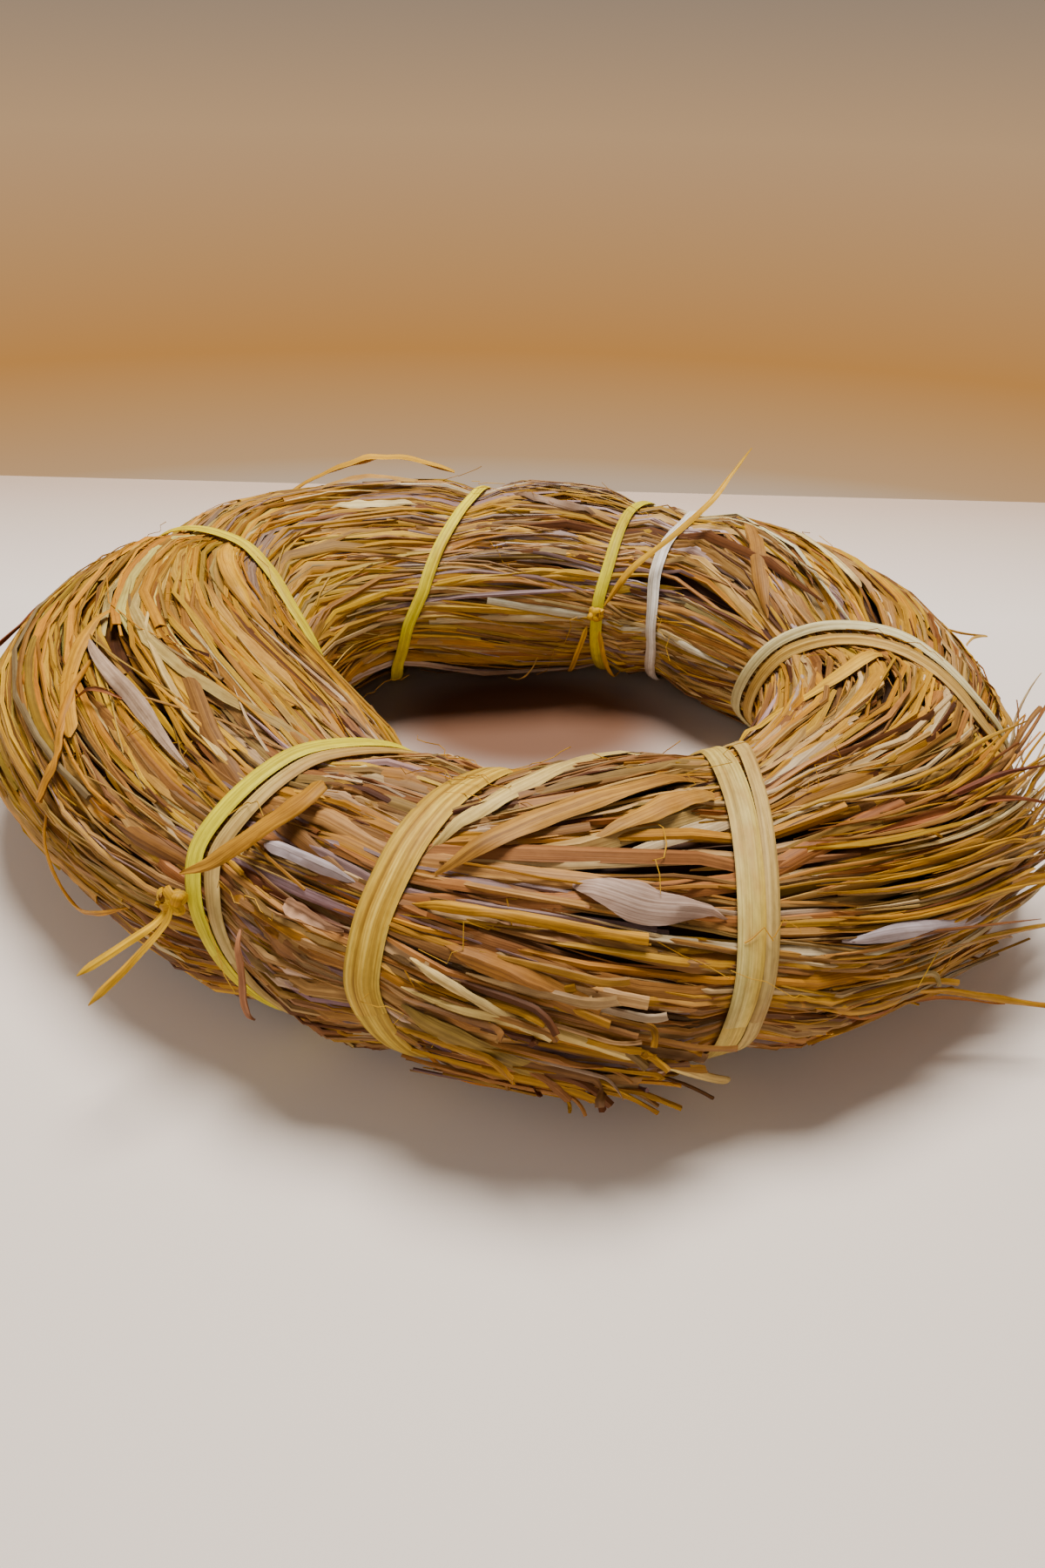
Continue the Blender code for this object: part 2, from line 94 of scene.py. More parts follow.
def ringValue(theta, column):
    place = (np.asarray(theta, float) % 360.0) / 360.0 * len(stationTable)
    i = np.floor(place).astype(int)
    f = place - i
    a, b, c, d = (stationTable[(i + k) % len(stationTable), column] for k in (-1, 0, 1, 2))
    return b + 0.5 * f * (c - a + f * (2 * a - 5 * b + 4 * c - d + f * (3 * (b - c) + d - a)))


def ringPlace(theta, phi, lift=0.0):
    # points in mm at a height off the plain ring, with the direction straight off it
    theta = np.asarray(theta, float)
    phi = np.asarray(phi, float)
    t, p = np.radians(theta), np.radians(phi)
    radius, wide, high = (ringValue(theta, k) for k in range(3))
    ahead, behind = ringValue(theta + 0.1, 0), ringValue(theta - 0.1, 0)
    t0, t1 = np.radians(theta - 0.1), np.radians(theta + 0.1)
    alongX = ahead * np.cos(t1) - behind * np.cos(t0)
    alongY = ahead * np.sin(t1) - behind * np.sin(t0)
    size = np.hypot(alongX, alongY)
    outX, outY = alongY / size, -alongX / size
    flat = np.cos(p) / wide
    rise = np.sin(p) / high
    size = np.hypot(flat, rise)
    flat, rise = flat / size, rise / size
    normal = np.stack([outX * flat, outY * flat, rise], -1)
    point = np.stack([
        radius * np.cos(t) + outX * wide * np.cos(p),
        radius * np.sin(t) + outY * wide * np.cos(p),
        high + high * np.sin(p)], -1)
    return point + normal * np.asarray(lift, float)[..., None], normal


def tieCurve(pairs):
    # theta of a tie for every whole degree of phi; the pairs may turn past 360
    phis = np.array([p[0] for p in pairs] * 3, float) + np.repeat([-360.0, 0.0, 360.0], len(pairs))
    thetas = np.array([p[1] for p in pairs] * 3, float)
    thetas = np.degrees(np.unwrap(np.radians(thetas)))
    fine = np.interp(np.arange(-180, 540), phis, thetas)
    kernel = np.hanning(25)
    return np.convolve(fine, kernel / kernel.sum(), "same")[180:540]


tieTable = {name: tieCurve(pairs) for name, (_, _, pairs) in tieForm.items()}


def tieTheta(name, phi):
    table = tieTable[name]
    phi = np.asarray(phi, float) % 360.0
    i = np.floor(phi).astype(int) % 360
    f = phi - np.floor(phi)
    return table[i] * (1 - f) + table[(i + 1) % 360] * f


def pinch(theta, phi):
    # share from 0 to 1 of the ties' pull at places on the ring
    reach = np.radians(1.0) * (ringValue(theta, 0) + ringValue(theta, 1) * np.cos(np.radians(phi)))
    share = np.zeros(np.broadcast(theta, phi).shape)
    for name in tieForm:
        gap = ((np.asarray(theta) - tieTheta(name, phi) + 180.0) % 360.0 - 180.0) * reach
        share = np.maximum(share, np.exp(-(gap / ringForm["pinchReach"]) ** 2))
    return share


def toModel(points):
    return (np.asarray(points) + np.array(ringForm["shift"])) * 0.001


def rgb(value):
    # linear colour of a hex code
    parts = [int(value[i:i + 2], 16) / 255.0 for i in (1, 3, 5)]
    return tuple(p / 12.92 if p <= 0.04045 else ((p + 0.055) / 1.055) ** 2.4 for p in parts) + (1.0,)


def addNode(tree, kind, inputs, **settings):
    # shader node; an input is a plain value or another node's output
    node = tree.nodes.new("ShaderNode" + kind)
    for key, value in settings.items():
        setattr(node, key, value)
    for socket, value in inputs.items():
        if isinstance(value, bpy.types.NodeSocket):
            tree.links.new(value, node.inputs[socket])
        else:
            node.inputs[socket].default_value = value
    return node


def addRamp(tree, fac, stops):
    # colour ramp through (place, colour) stops
    node = addNode(tree, "ValToRGB", {"Fac": fac})
    elements = node.color_ramp.elements
    for element, (place, colour) in ((elements[0], stops[0]), (elements[1], stops[-1])):
        element.position = place
        element.color = colour
    for place, colour in stops[1:-1]:
        elements.new(place).color = colour
    return node.outputs["Color"]


def newMaterial(name, roughness):
    material = bpy.data.materials.new(name)
    material.use_nodes = True
    shader = material.node_tree.nodes["Principled BSDF"]
    shader.inputs["Roughness"].default_value = roughness
    return material, material.node_tree, shader


raffiaLook = {
    # noise scale along and across a strip, detail, share of the mix, stops
    "streak": ((8.0, 620.0, 1.0), 3.0, None, [
        (0.27, (0.34, 0.24, 0.15, 1)), (0.5, (0.84, 0.8, 0.74, 1)), (0.75, (1.18, 1.2, 1.2, 1))]),
    "fibre": ((18.0, 1700.0, 1.0), 2.0, 0.75, [(0.3, (0.5, 0.42, 0.33, 1)), (0.6, (1.1, 1.1, 1.1, 1))]),
    "blotch": ((30.0, 70.0, 1.0), 3.0, 0.6, [(0.32, (0.62, 0.44, 0.28, 1)), (0.52, (1, 1, 1, 1))]),
    "grain": ((300.0, 900.0, 1.0), 2.0, 0.8, [(0.3, (0.82, 0.8, 0.76, 1)), (0.6, (1.05, 1.05, 1.05, 1))]),
    "drift": ((7.0, 60.0, 1.0), 1.0, None, [(0.4, (0, 0, 0, 1)), (0.6, (1, 1, 1, 1))]),
    "smudge": ((60.0, 160.0, 1.0), 4.0, None, [(0.5, (0, 0, 0, 1)), (0.68, (0.7, 0.7, 0.7, 1))]),
    "noiseRoughness": 0.6,
    "baseStops": (0.3, 0.5, 0.72),
    "bump": 0.45,
    "bumpDistance": 0.0003,
    "bumpFibre": 0.45,
    "roughness": 0.55,
    "specular": 0.22,
}


def raffiaMaterial(name, colours=None, contrast=0.6, along=None, smudge=None):
    # dried leaf: lengthwise streaks, fibres and stains; without (dark, middle, light) colours
    # it takes each strand's own tint
    look = raffiaLook
    material, tree, shader = newMaterial(name, look["roughness"])
    shader.inputs["Specular IOR Level"].default_value = look["specular"]
    uv = addNode(tree, "UVMap", {}, uv_map="strand").outputs["UV"]

    def noise(layer):
        scale, detail = look[layer][:2]
        place = addNode(tree, "Mapping", {"Vector": uv, "Scale": scale}).outputs["Vector"]
        return addNode(tree, "TexNoise", {
            "Vector": place, "Scale": 1.0, "Detail": detail,
            "Roughness": look["noiseRoughness"]}).outputs["Fac"]

    def ramp(layer):
        return addRamp(tree, noise(layer), look[layer][3])

    def mix(fac, a, b, kind="MULTIPLY"):
        inputs = {"Factor": fac, "A": a, "B": b}
        return addNode(tree, "Mix", inputs, data_type="RGBA", blend_type=kind).outputs["Result"]

    if colours is None:
        tint = addNode(tree, "Attribute", {}, attribute_type="GEOMETRY", attribute_name="strandTint")
        base = tint.outputs["Color"]
    else:
        stops = [(place, rgb(colour)) for place, colour in zip(look["baseStops"], colours)]
        base = addRamp(tree, noise("streak"), stops)
    if along:
        # slow change of colour along the strip
        base = mix(ramp("drift"), base, rgb(along), "MIX")
    grey, fine = ramp("streak"), ramp("fibre")
    shade = mix(contrast, base, grey)
    shade = mix(look["fibre"][2], shade, fine)
    for layer in ("blotch", "grain"):
        shade = mix(look[layer][2], shade, ramp(layer))
    if smudge:
        shade = mix(ramp("smudge"), shade, rgb(smudge), "MIX")
    tree.links.new(shade, shader.inputs["Base Color"])
    bump = addNode(tree, "Bump", {
        "Height": mix(look["bumpFibre"], grey, fine, "MIX"),
        "Strength": look["bump"], "Distance": look["bumpDistance"]})
    tree.links.new(bump.outputs["Normal"], shader.inputs["Normal"])
    return material


# dark, middle and light colour, contrast, colour that comes and goes along the band, smudges
tieColours = {
    "tieYellow": (("#BFA204", "#EAD606", "#F8EC16"), 0.2, "#E0D60E"),
    "tiePale": (("#A8964F", "#D3CB86", "#E2DDA0"), 0.3, "#DDBD4E", "#B98F45"),
    "tieCream": (("#B5A468", "#D9CF9C", "#EBE4BD"), 0.3, "#CFC38A"),
    "tieGold": (("#94681C", "#D6AE38", "#E8CC5E"), 0.5, "#CDB038"),
    "tieTan": (("#8E6724", "#C49E4A", "#DDBF73"), 0.45, "#CDB470"),
    "tieWhite": (("#CFC8BC", "#EFEDE8", "#FAF9F6"), 0.15, "#DAD3C6"),
}
strandMaterial = raffiaMaterial("raffiaStrands")
tieMaterials = {name: raffiaMaterial(name, *look) for name, look in tieColours.items()}


def openPrism(sides, steps, capped):
    # prism two units long and two wide, cut across its length
    maker = bmesh.new()
    bmesh.ops.create_cone(
        maker, cap_ends=capped, segments=sides, radius1=1.0, radius2=1.0, depth=2.0)
    long = [e for e in maker.edges if abs(e.verts[0].co.z - e.verts[1].co.z) > 1.0]
    bmesh.ops.subdivide_edges(maker, edges=long, cuts=steps - 1, use_grid_fill=True)
    return maker


def meshOf(maker, name):
    mesh = bpy.data.meshes.new(name)
    maker.to_mesh(mesh)
    maker.free()
    return mesh


def addObject(name, data):
    ob = bpy.data.objects.new(name, data)
    bpy.context.scene.collection.objects.link(ob)
    return ob


def addPiece(mesh, name, node):
    piece = addObject(name, mesh)
    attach(piece, "root")
    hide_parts(node)
    return piece


stripTemplates = {}


def stripTemplate(sides, steps):
    # closed strip and its points, made once for each number of sides and steps
    key = (sides, steps)
    if key not in stripTemplates:
        maker = openPrism(sides, steps, True)
        first = min(math.atan2(v.co.y, v.co.x) % (2 * math.pi / sides) for v in maker.verts)
        turn = Matrix.Rotation(-first, 3, "Z")
        bmesh.ops.rotate(maker, cent=(0, 0, 0), matrix=turn, verts=maker.verts[:])
        mesh = meshOf(maker, "stripTemplate")
        co = np.empty(len(mesh.vertices) * 3, np.float32)
        mesh.vertices.foreach_get("co", co)
        stripTemplates[key] = (mesh, co.reshape(-1, 3))
    return stripTemplates[key]


def unit(rows):
    return rows / (np.linalg.norm(rows, axis=1, keepdims=True) + 1e-9)


stripForm = {"uvReach": 40, "uvShift": 0.37, "sharpAngle": 42, "pleatPlaces": [-1, -0.5, 0.0, 0.5, 1]}


class StrandSet:
    # strips gathered for one piece: each is a copy of a template, bent when the piece is finished

    def __init__(self, name):
        self.name = name
        self.maker = bmesh.new()
        self.points, self.uvs, self.tints = [], [], []

    def add(self, centre, normal, width, tint, roll, section, fold=0.0):
        # centre and normal per step in mm; width, roll (radians), fold and curl per step or for all
        # section: thickness, sides, curl and pleat
        thick, sides, curl, pleat = section
        count = len(centre)
        mesh, co = stripTemplate(sides, count - 1)
        self.maker.from_mesh(mesh)
        along = unit(np.gradient(centre, axis=0))
        side = unit(np.cross(normal, along))
        up = np.cross(along, side)
        roll = np.broadcast_to(roll, count)[:, None]
        side, up = side * np.cos(roll) + up * np.sin(roll), up * np.cos(roll) - side * np.sin(roll)
        row = np.clip(np.round((co[:, 2] + 1.0) * 0.5 * (count - 1)).astype(int), 0, count - 1)
        across, high = co[:, 0], co[:, 1]
        half = np.broadcast_to(width, count)[row] * 0.5
        if curl is None:
            sideways = across * half
            bend = np.broadcast_to(fold, count)[row] * half * (1.0 - np.abs(across))
        else:
            # negative curls the edges down, positive makes a trough
            turn = np.broadcast_to(curl, count)[row]
            turn = np.where(np.abs(turn) < 1e-3, 1e-3, turn)
            sideways = half / turn * np.sin(across * turn)
            bend = half / turn * (1 - np.cos(across * turn))
        if pleat:
            bend = bend + np.interp(across, stripForm["pleatPlaces"], [0, *rng.normal(0, pleat, 3), 0])
        rise = bend + high * thick * 0.5
        self.points.append(centre[row] + side[row] * sideways[:, None] + up[row] * rise[:, None])
        length = np.concatenate([[0.0], np.cumsum(np.linalg.norm(np.diff(centre, axis=0), axis=1))])
        start = rng.uniform(0, stripForm["uvReach"])
        sideStart = start * stripForm["uvShift"]
        self.uvs.append(np.stack([length[row] * 0.001 + start, across * half * 0.001 + sideStart], -1))
        tint = np.asarray(tint, float)
        self.tints.append(np.broadcast_to(tint, (len(co), 3)) if tint.ndim == 1 else tint[row])

    def finish(self, node, slot="straw"):
        mesh = meshOf(self.maker, self.name)
        points = toModel(np.concatenate(self.points))
        points[:, 2] = np.maximum(points[:, 2], 0.0)
        mesh.vertices.foreach_set("co", points.astype(np.float32).ravel())
        loops = np.empty(len(mesh.loops), np.int32)
        mesh.loops.foreach_get("vertex_index", loops)
        layer = mesh.uv_layers.new(name="strand")
        layer.data.foreach_set("uv", np.concatenate(self.uvs)[loops].astype(np.float32).ravel())
        tints = np.concatenate(self.tints)
        colours = np.column_stack([tints, np.ones(len(tints))]).astype(np.float32)
        tint = mesh.attributes.new("strandTint", "FLOAT_COLOR", "POINT")
        tint.data.foreach_set("color", colours.ravel())
        mesh.shade_smooth()
        mesh.set_sharp_from_angle(angle=math.radians(stripForm["sharpAngle"]))
        mesh.materials.append(strandMaterial)
        mesh.update()
        return addPiece(mesh, self.name, node)


palette = {
    "straw": ["#CCA048", "#C0903A", "#DDBA66", "#BC8B38", "#D4AC56"],
    "tan": ["#B98B44", "#AB7D38", "#C2994F", "#9F7130"],
    "golden": ["#D2A01E", "#C69216", "#DCAE2A", "#CEA22E"],
    "orange": ["#D89E08", "#CC9004", "#E2AC12", "#C48608"],
    "mauve": ["#B49A84", "#A48872", "#BFA890", "#967A64"],
    "brown": ["#7C4C1A", "#683C12", "#8A5A24"],
    "pale": ["#E8D08A", "#EDDA9C", "#E0C678"],
    "lilac": ["#C4BAC4", "#B6AAB4"],
    "redBrown": ["#8C4F2C", "#7A4022", "#985E36"],
    "rust": ["#B87522", "#AC6A1E"],
    "yellowTail": ["#E6B800", "#DCAC00"],
    "olive": ["#A98C40", "#9A7F38"],
    "rustTan": ["#B4803A", "#AB7632"],
    "pinkTan": ["#D2A98A", "#C99E80"],
    "rustPink": ["#B07C56", "#A8724C"],
    "goldTan": ["#BE8A22", "#B6821E"],
    "greyMauve": ["#B9A196", "#B39A8E"],
}
paletteRgb = {k: [np.array(rgb(c)[:3]) for c in v] for k, v in palette.items()}
# painted shade: colour factor for strands at the bottom of the bundle, which are painted dark red-brown
paintedDeepShade = np.array([0.10, 0.036, 0.014])
# how far a strand's brightness, and each of its colour channels, strays
tintDrift = (0.19, 0.03)


def bell(theta, middle, reach):
    return math.exp(-(((theta - middle + 180) % 360 - 180) / reach) ** 2)


def regionMix(theta):
    # weights of the palette's colours at a place on the ring
    left, front = bell(theta, 170, 42), bell(theta, 265, 40)
    right, back = bell(theta, 340, 35), bell(theta, 80, 45)
    return {
        "straw": 1.3 + 1.0 * front + 0.5 * back + 0.5 * right, "tan": 0.7 + 0.8 * back + 0.3 * front,
        "golden": 1.0 + 1.6 * left + 0.9 * right, "orange": 0.1 + 2.4 * left + 0.3 * right,
        "mauve": 0.08 + 0.16 * front + 0.9 * back, "brown": 0.45 + 0.2 * front,
        "pale": 0.4 + 0.3 * front + 0.35 * right + 0.2 * back, "rustTan": 0.25 + 0.4 * front + 0.2 * right,
        "olive": 0.2 + 0.2 * front}


def pickTint(theta):
    # colour of a strand at a place on the ring, drawn from the mix there
    weights = regionMix(theta)
    left, front, back = bell(theta, 175, 45), bell(theta, 264, 38), bell(theta, 85, 48)
    names = list(weights)
    p = np.array([weights[n] for n in names])
    name = names[rng.choice(len(names), p=p / p.sum())]
    base = paletteRgb[name][rng.integers(len(paletteRgb[name]))]
    warm = np.array([
        0.86 - 0.02 * left - 0.17 * front, 0.83 + 0.02 * left - 0.21 * front + 0.1 * back,
        0.98 - 0.5 * left + 0.6 * back])
    return np.clip(base * warm * rng.normal(1.0, tintDrift[0]) * rng.normal(1.0, tintDrift[1], 3), 0.01, 1.0)


# how the strands run: degrees of phi gained for each degree of theta, at places on the ring
flowForm = {
    "places": [
        (169, 112, 1.0), (181, 84, .34), (199, 54, -.71), (205, 30, -1.0), (201, 66, .16),
        (223, 64, -.26), (221, 25, .5), (200, 136, 0), (194, 99, 0), (229, 100, .08), (193, 71, -.38),
        (217, 63, -.26), (191, 87, 0), (134, 70, .45), (124, 103, -.24), (127, 124, .09),
        (136, 149, -.05), (141, 185, -.18), (88, 137, .09), (92, 172, -.32), (95, 209, -.75),
        (86, 98, .39), (84, 120, -.06), (44, 120, .87), (30, 100, -1.6), (33, 120, -1.6),
        (22, 74, -1.1), (18, 105, -.55), (30, 168, .11), (1, 55, -.25), (334, 89, -.04),
        (328, 70, -.11), (326, 53, -.45), (334, 123, .6), (348, 110, .9), (315, 26, -1.0),
        (313, 9, -.9), (305, 0, -.9), (308, -2, -.7), (313, 65, -.9), (313, 46, -1.0), (315, 93, -.08),
        (274, 100, 1.9), (273, 79, 1.5), (292, 91, .62), (270, 60, -.66), (270, 35, -.92),
        (267, 14, -.78), (270, 15, -1.1), (265, -22, -1.3), (282, 118, .42), (281, 64, -.15),
        (286, 58, -.48), (278, 30, -1.0), (270, 45, -.43), (283, 21, -1.4), (250, 49, 0),
        (250, 70, -.58), (246, 31, -1.2), (251, 12, -.78), (252, -5, -.6), (247, 91, .77),
        (222, 118, .1), (258, 120, .3), (300, 150, .1), (320, 180, 0), (240, 160, 0), (215, 175, 0),
        (270, 180, 0), (0, 180, 0), (270, 270, 0), (180, 270, 0), (0, 270, 0), (90, 270, 0),
        (0, 0, -.2), (45, 20, .1), (90, 20, 0), (135, 20, -.1), (180, 0, -.3), (0, -30, -.1),
        (315, -50, -.3), (225, -40, .2)],
    "reach": (15.0, 20.0),
    "cell": 4,
    "calm": 0.04,
    "leastRadius": 30.0,
    "bendTurn": 3.0,
}


def makeFlow():
    places = np.array(flowForm["places"], float)
    cell = flowForm["cell"]
    theta, phi = np.meshgrid(np.arange(0, 360, cell), np.arange(0, 360, cell), indexing="ij")
    gapTheta = ((theta[..., None] - places[:, 0] + 180) % 360 - 180) / flowForm["reach"][0]
    gapPhi = ((phi[..., None] - places[:, 1] + 180) % 360 - 180) / flowForm["reach"][1]
    weight = np.exp(-gapTheta ** 2 - gapPhi ** 2)
    return (weight * places[:, 2]).sum(-1) / (weight.sum(-1) + flowForm["calm"])


flowTable = makeFlow()


def flowAt(theta, phi):
    cell = flowForm["cell"]
    count = 360 // cell
    return flowTable[np.round(theta / cell).astype(int) % count, np.round(phi / cell).astype(int) % count]


def followFlow(theta, phi, length, steps, wander, bend):
    # centre lines of many strands at once, as theta and phi per step
    thetas, phis = [theta], [phi]
    for i in range(steps):
        slope = flowAt(theta, phi) + wander + bend * math.cos(flowForm["bendTurn"] * i / steps)
        reach = math.radians(1.0) * np.maximum(
            flowForm["leastRadius"], ringValue(theta, 0) + ringValue(theta, 1) * np.cos(np.radians(phi)))
        around = math.radians(1.0) * ringValue(theta, 1)
        forward = length / steps / np.hypot(reach, slope * around)
        theta = theta + forward
        phi = phi + forward * slope
        thetas.append(theta)
        phis.append(phi)
    return np.stack(thetas, 1), np.stack(phis, 1)


spreadForm = {"radius": 100.0, "half": 45.0, "most": 150.0, "under": -0.6}


def spread(count, fewerBelow=0.4):
    # even places over the ring's skin, fewer of them underneath
    form = spreadForm
    places = []
    while len(places) < count:
        theta, phi = rng.uniform(0, 360), rng.uniform(-180, 180)
        share = (form["radius"] + form["half"] * math.cos(math.radians(phi))) / form["most"]
        if math.sin(math.radians(phi)) < form["under"]:
            share *= fewerBelow
        if rng.uniform() < share:
            places.append((theta, phi))
    return np.array(places).T


waveForm = {"turn": 6.28, "fast": 14.1, "shares": (0.6, 0.4)}


def slowWave(count, size, waves=2.0):
    # a slow and a faster wave along a strip, each from a place of its own
    x = np.linspace(0, 1, count)
    first, second = rng.uniform(0, waveForm["turn"], 2)
    slow, fast = np.sin(x * waves * waveForm["turn"] + first), np.sin(x * waves * waveForm["fast"] + second)
    return size * (slow * waveForm["shares"][0] + fast * waveForm["shares"][1])


tipShare = 0.12


def endShape(count, starts, ends):
    # share of the full width along a strip: each end narrows over a share of the length, 0 is cut
    place = np.linspace(0, 1, count)
    shape = np.ones(count)
    for reach, fromEnd in ((starts, place), (ends, 1 - place)):
        if reach > 0:
            grown = np.clip(fromEnd / reach, 0, 1) ** 0.8
            shape = np.minimum(shape, tipShare + (1 - tipShare) * grown)
    return shape


sectors = [StrandSet(name) for name in (
    "strandsRight", "strandsBackRight", "strandsBack", "strandsLeft", "strandsFrontLeft", "strandsFront")]
layForm = {
    "fineSteps": 5, "plainPace": 0.5, "tiePace": 2.5, "pressShare": 0.55, "floor": 1.35, "floorDrift": 1.2,
    "deepest": 4.4, "shadeReach": 3.9, "flatten": 0.7}


def crowdedSteps(thetas, phis):
    # places along a strand, as fractions of a step, closer together where a tie pulls it in
    count = len(thetas)
    fine = np.linspace(0, count - 1, layForm["fineSteps"] * (count - 1) + 1)
    whole = np.arange(count)
    share = pinch(np.interp(fine, whole, thetas), np.interp(fine, whole, phis))
    pace = layForm["plainPace"] + layForm["tiePace"] * (share[1:] + share[:-1]) * 0.5
    passed = np.concatenate([[0.0], np.cumsum(pace)])
    return np.interp(np.linspace(0, passed[-1], count), passed, fine)


def layStrand(thetas, phis, height, width, tint, roll, section, fold=0.0):
    # one strand of the bundle: pressed in at the ties, kept off the floor, with painted shade that makes it
    # darker where it lies deep
    form = layForm
    steps, whole = crowdedSteps(thetas, phis), np.arange(len(thetas))
    thetas, phis, height, width, roll = (
        np.interp(steps, whole, np.broadcast_to(row, len(whole)))
        for row in (thetas, phis, height, width, roll))
    share = pinch(thetas, phis)
    lift = height - (ringForm["pinchDepth"] + height * form["pressShare"]) * share
    centre, normal = ringPlace(thetas, phis, lift)
    centre[:, 2] = np.maximum(centre[:, 2], form["floor"] + rng.uniform(0, form["floorDrift"]))
    # painted shade: a strand that lies deeper is painted darker and redder, down to the deepest colour at
    # the bottom of the bundle
    depth = np.clip((height + form["deepest"]) / form["shadeReach"], 0.0, 1.0)[:, None]
    shade = paintedDeepShade + (1 - paintedDeepShade) * depth
    sector = sectors[int(thetas[len(thetas) // 2] % 360 // 60)]
    sector.add(centre, normal, width, tint * shade, roll * (1 - form["flatten"] * share), section, fold)


def crossSection(width):
    # thickness, sides, curl and pleat of a strip: narrow ones are nearly round, wide ones curl downwards
    if width < 1.9:
        return width * rng.uniform(0.55, 0.85), 5, None, 0.0
    if width < 3.4:
        return 0.32, 6, -rng.uniform(0.8, 1.6), 0.2
    return 0.3, 8, -rng.uniform(0.45, 1.0), 0.3


def guides(form, steps, fewerBelow=0.4):
    # theta and phi along as many strands as the form counts
    count = form["count"]
    theta, phi = spread(count, fewerBelow)
    length = rng.uniform(*form["length"], count)
    wander, bend = rng.normal(0, form["wander"], count), rng.normal(0, form["bend"], count)
    return followFlow(theta, phi, length, steps, wander, bend)


underForm = {
    "count": 620, "width": (3.5, 8.0), "length": (80, 170), "height": (-5.4, -3.8), "steps": 11,
    "wander": 0.2, "bend": 0.08, "section": (0.22, 4, None, 0.0)}


def makeUnder():
    # wide leaves below the bunches, dark from the painted shade of deep strands
    form = underForm
    n = form["steps"] + 1
    thetas, phis = guides(form, form["steps"])
    for k in range(form["count"]):
        width = rng.uniform(*form["width"]) * endShape(n, 0.2, 0.2)
        height = rng.uniform(*form["height"]) + slowWave(n, 0.3)
        tint, roll, fold = pickTint(thetas[k, n // 2]), slowWave(n, 0.12), rng.normal(0, 0.15)
        layStrand(thetas[k], phis[k], height, width, tint, roll, form["section"], fold)


bunchForm = {
    "count": 400, "length": (90, 210), "halfWidth": (1.6, 5.2), "halfHeight": (1.3, 2.9), "strands": (5, 10),
    "base": (-4.6, -0.8), "width": (1.2, 4.6), "wander": 0.12, "bend": 0.08, "steps": 10, "guideSteps": 24,
    "arc": 2.6, "tucked": 0.8, "tuckDepth": 2.2, "tuckReach": 0.12, "around": 42.0, "lean": -0.75,
    "twist": 0.1, "twistWidth": 3.2, "twistPace": 14, "sameTint": 0.45}


def makeBunches():
    # bunches of strands that lie together, with dark valleys between one bunch and the next, darkened partly
    # by real shadow and partly by painted shade on the lower strands
    form = bunchForm
    n = form["steps"] + 1
    thetas, phis = guides(form, form["guideSteps"])
    guide = np.linspace(0, 1, form["guideSteps"] + 1)
    for k in range(form["count"]):
        wide = rng.uniform(*form["halfWidth"])
        tall = rng.uniform(*form["halfHeight"])
        base = rng.uniform(*form["base"])
        middleTheta = thetas[k, form["guideSteps"] // 2]
        family = pickTint(middleTheta)
        strands = int(rng.integers(*form["strands"]) * (0.6 + wide / 8.0))
        for j in range(strands):
            start, end = rng.uniform(0, 0.3) ** 1.2, 1 - rng.uniform(0, 0.3) ** 1.2
            place = np.linspace(start, end, n)
            turn = (j + 0.5) / strands * form["arc"] - form["arc"] / 2
            turn = turn + rng.normal(0, 0.25) + slowWave(n, 0.3, 0.8)
            sideways = wide * np.sin(turn)
            height = base + tall * np.cos(turn) + slowWave(n, 0.25)
            tucked = rng.uniform() < form["tucked"]
            if tucked:
                rim = np.minimum(place - start, end - place) / (end - start)
                height = height - np.clip(1 - rim / form["tuckReach"], 0, 1) * form["tuckDepth"]
            strandTheta = np.interp(place, guide, thetas[k])
            strandPhi = np.interp(place, guide, phis[k]) + np.degrees(sideways / form["around"])
            width = rng.uniform(*form["width"])
            widths = width * endShape(n, 0.15, 0.15 if tucked else 0.0) * (1 + slowWave(n, 0.1))
            roll = form["lean"] * sideways / wide + slowWave(n, 0.15)
            if rng.uniform() < form["twist"] and width < form["twistWidth"]:
                ahead = np.linspace(0, 1, n) - rng.uniform(0.2, 0.8)
                roll = roll + math.pi / (1 + np.exp(-ahead * form["twistPace"]))
            same = rng.uniform() < form["sameTint"]
            tint = np.clip(family * rng.normal(1, 0.12) if same else pickTint(middleTheta), 0.01, 1)
            layStrand(strandTheta, strandPhi, height, widths, tint, roll, crossSection(width))


overForm = {
    "leaves": {"count": 240, "width": (3.4, 6.4), "length": (55, 150), "height": (-0.8, 1.2), "steps": 10,
               "wander": 0.3, "bend": 0.2},
    "strands": {"count": 820, "width": (1.1, 3.4), "length": (60, 190), "height": (-1.2, 1.3), "steps": 10,
                "wander": 0.18, "bend": 0.14},
    "fibres": {"count": 700, "width": (0.35, 0.9), "length": (40, 150), "height": (-0.9, 1.3), "steps": 11,
               "wander": 0.26, "bend": 0.2},
}
overEnds = {"cut": 0.3, "sink": 1.6, "sinkReach": 0.15}


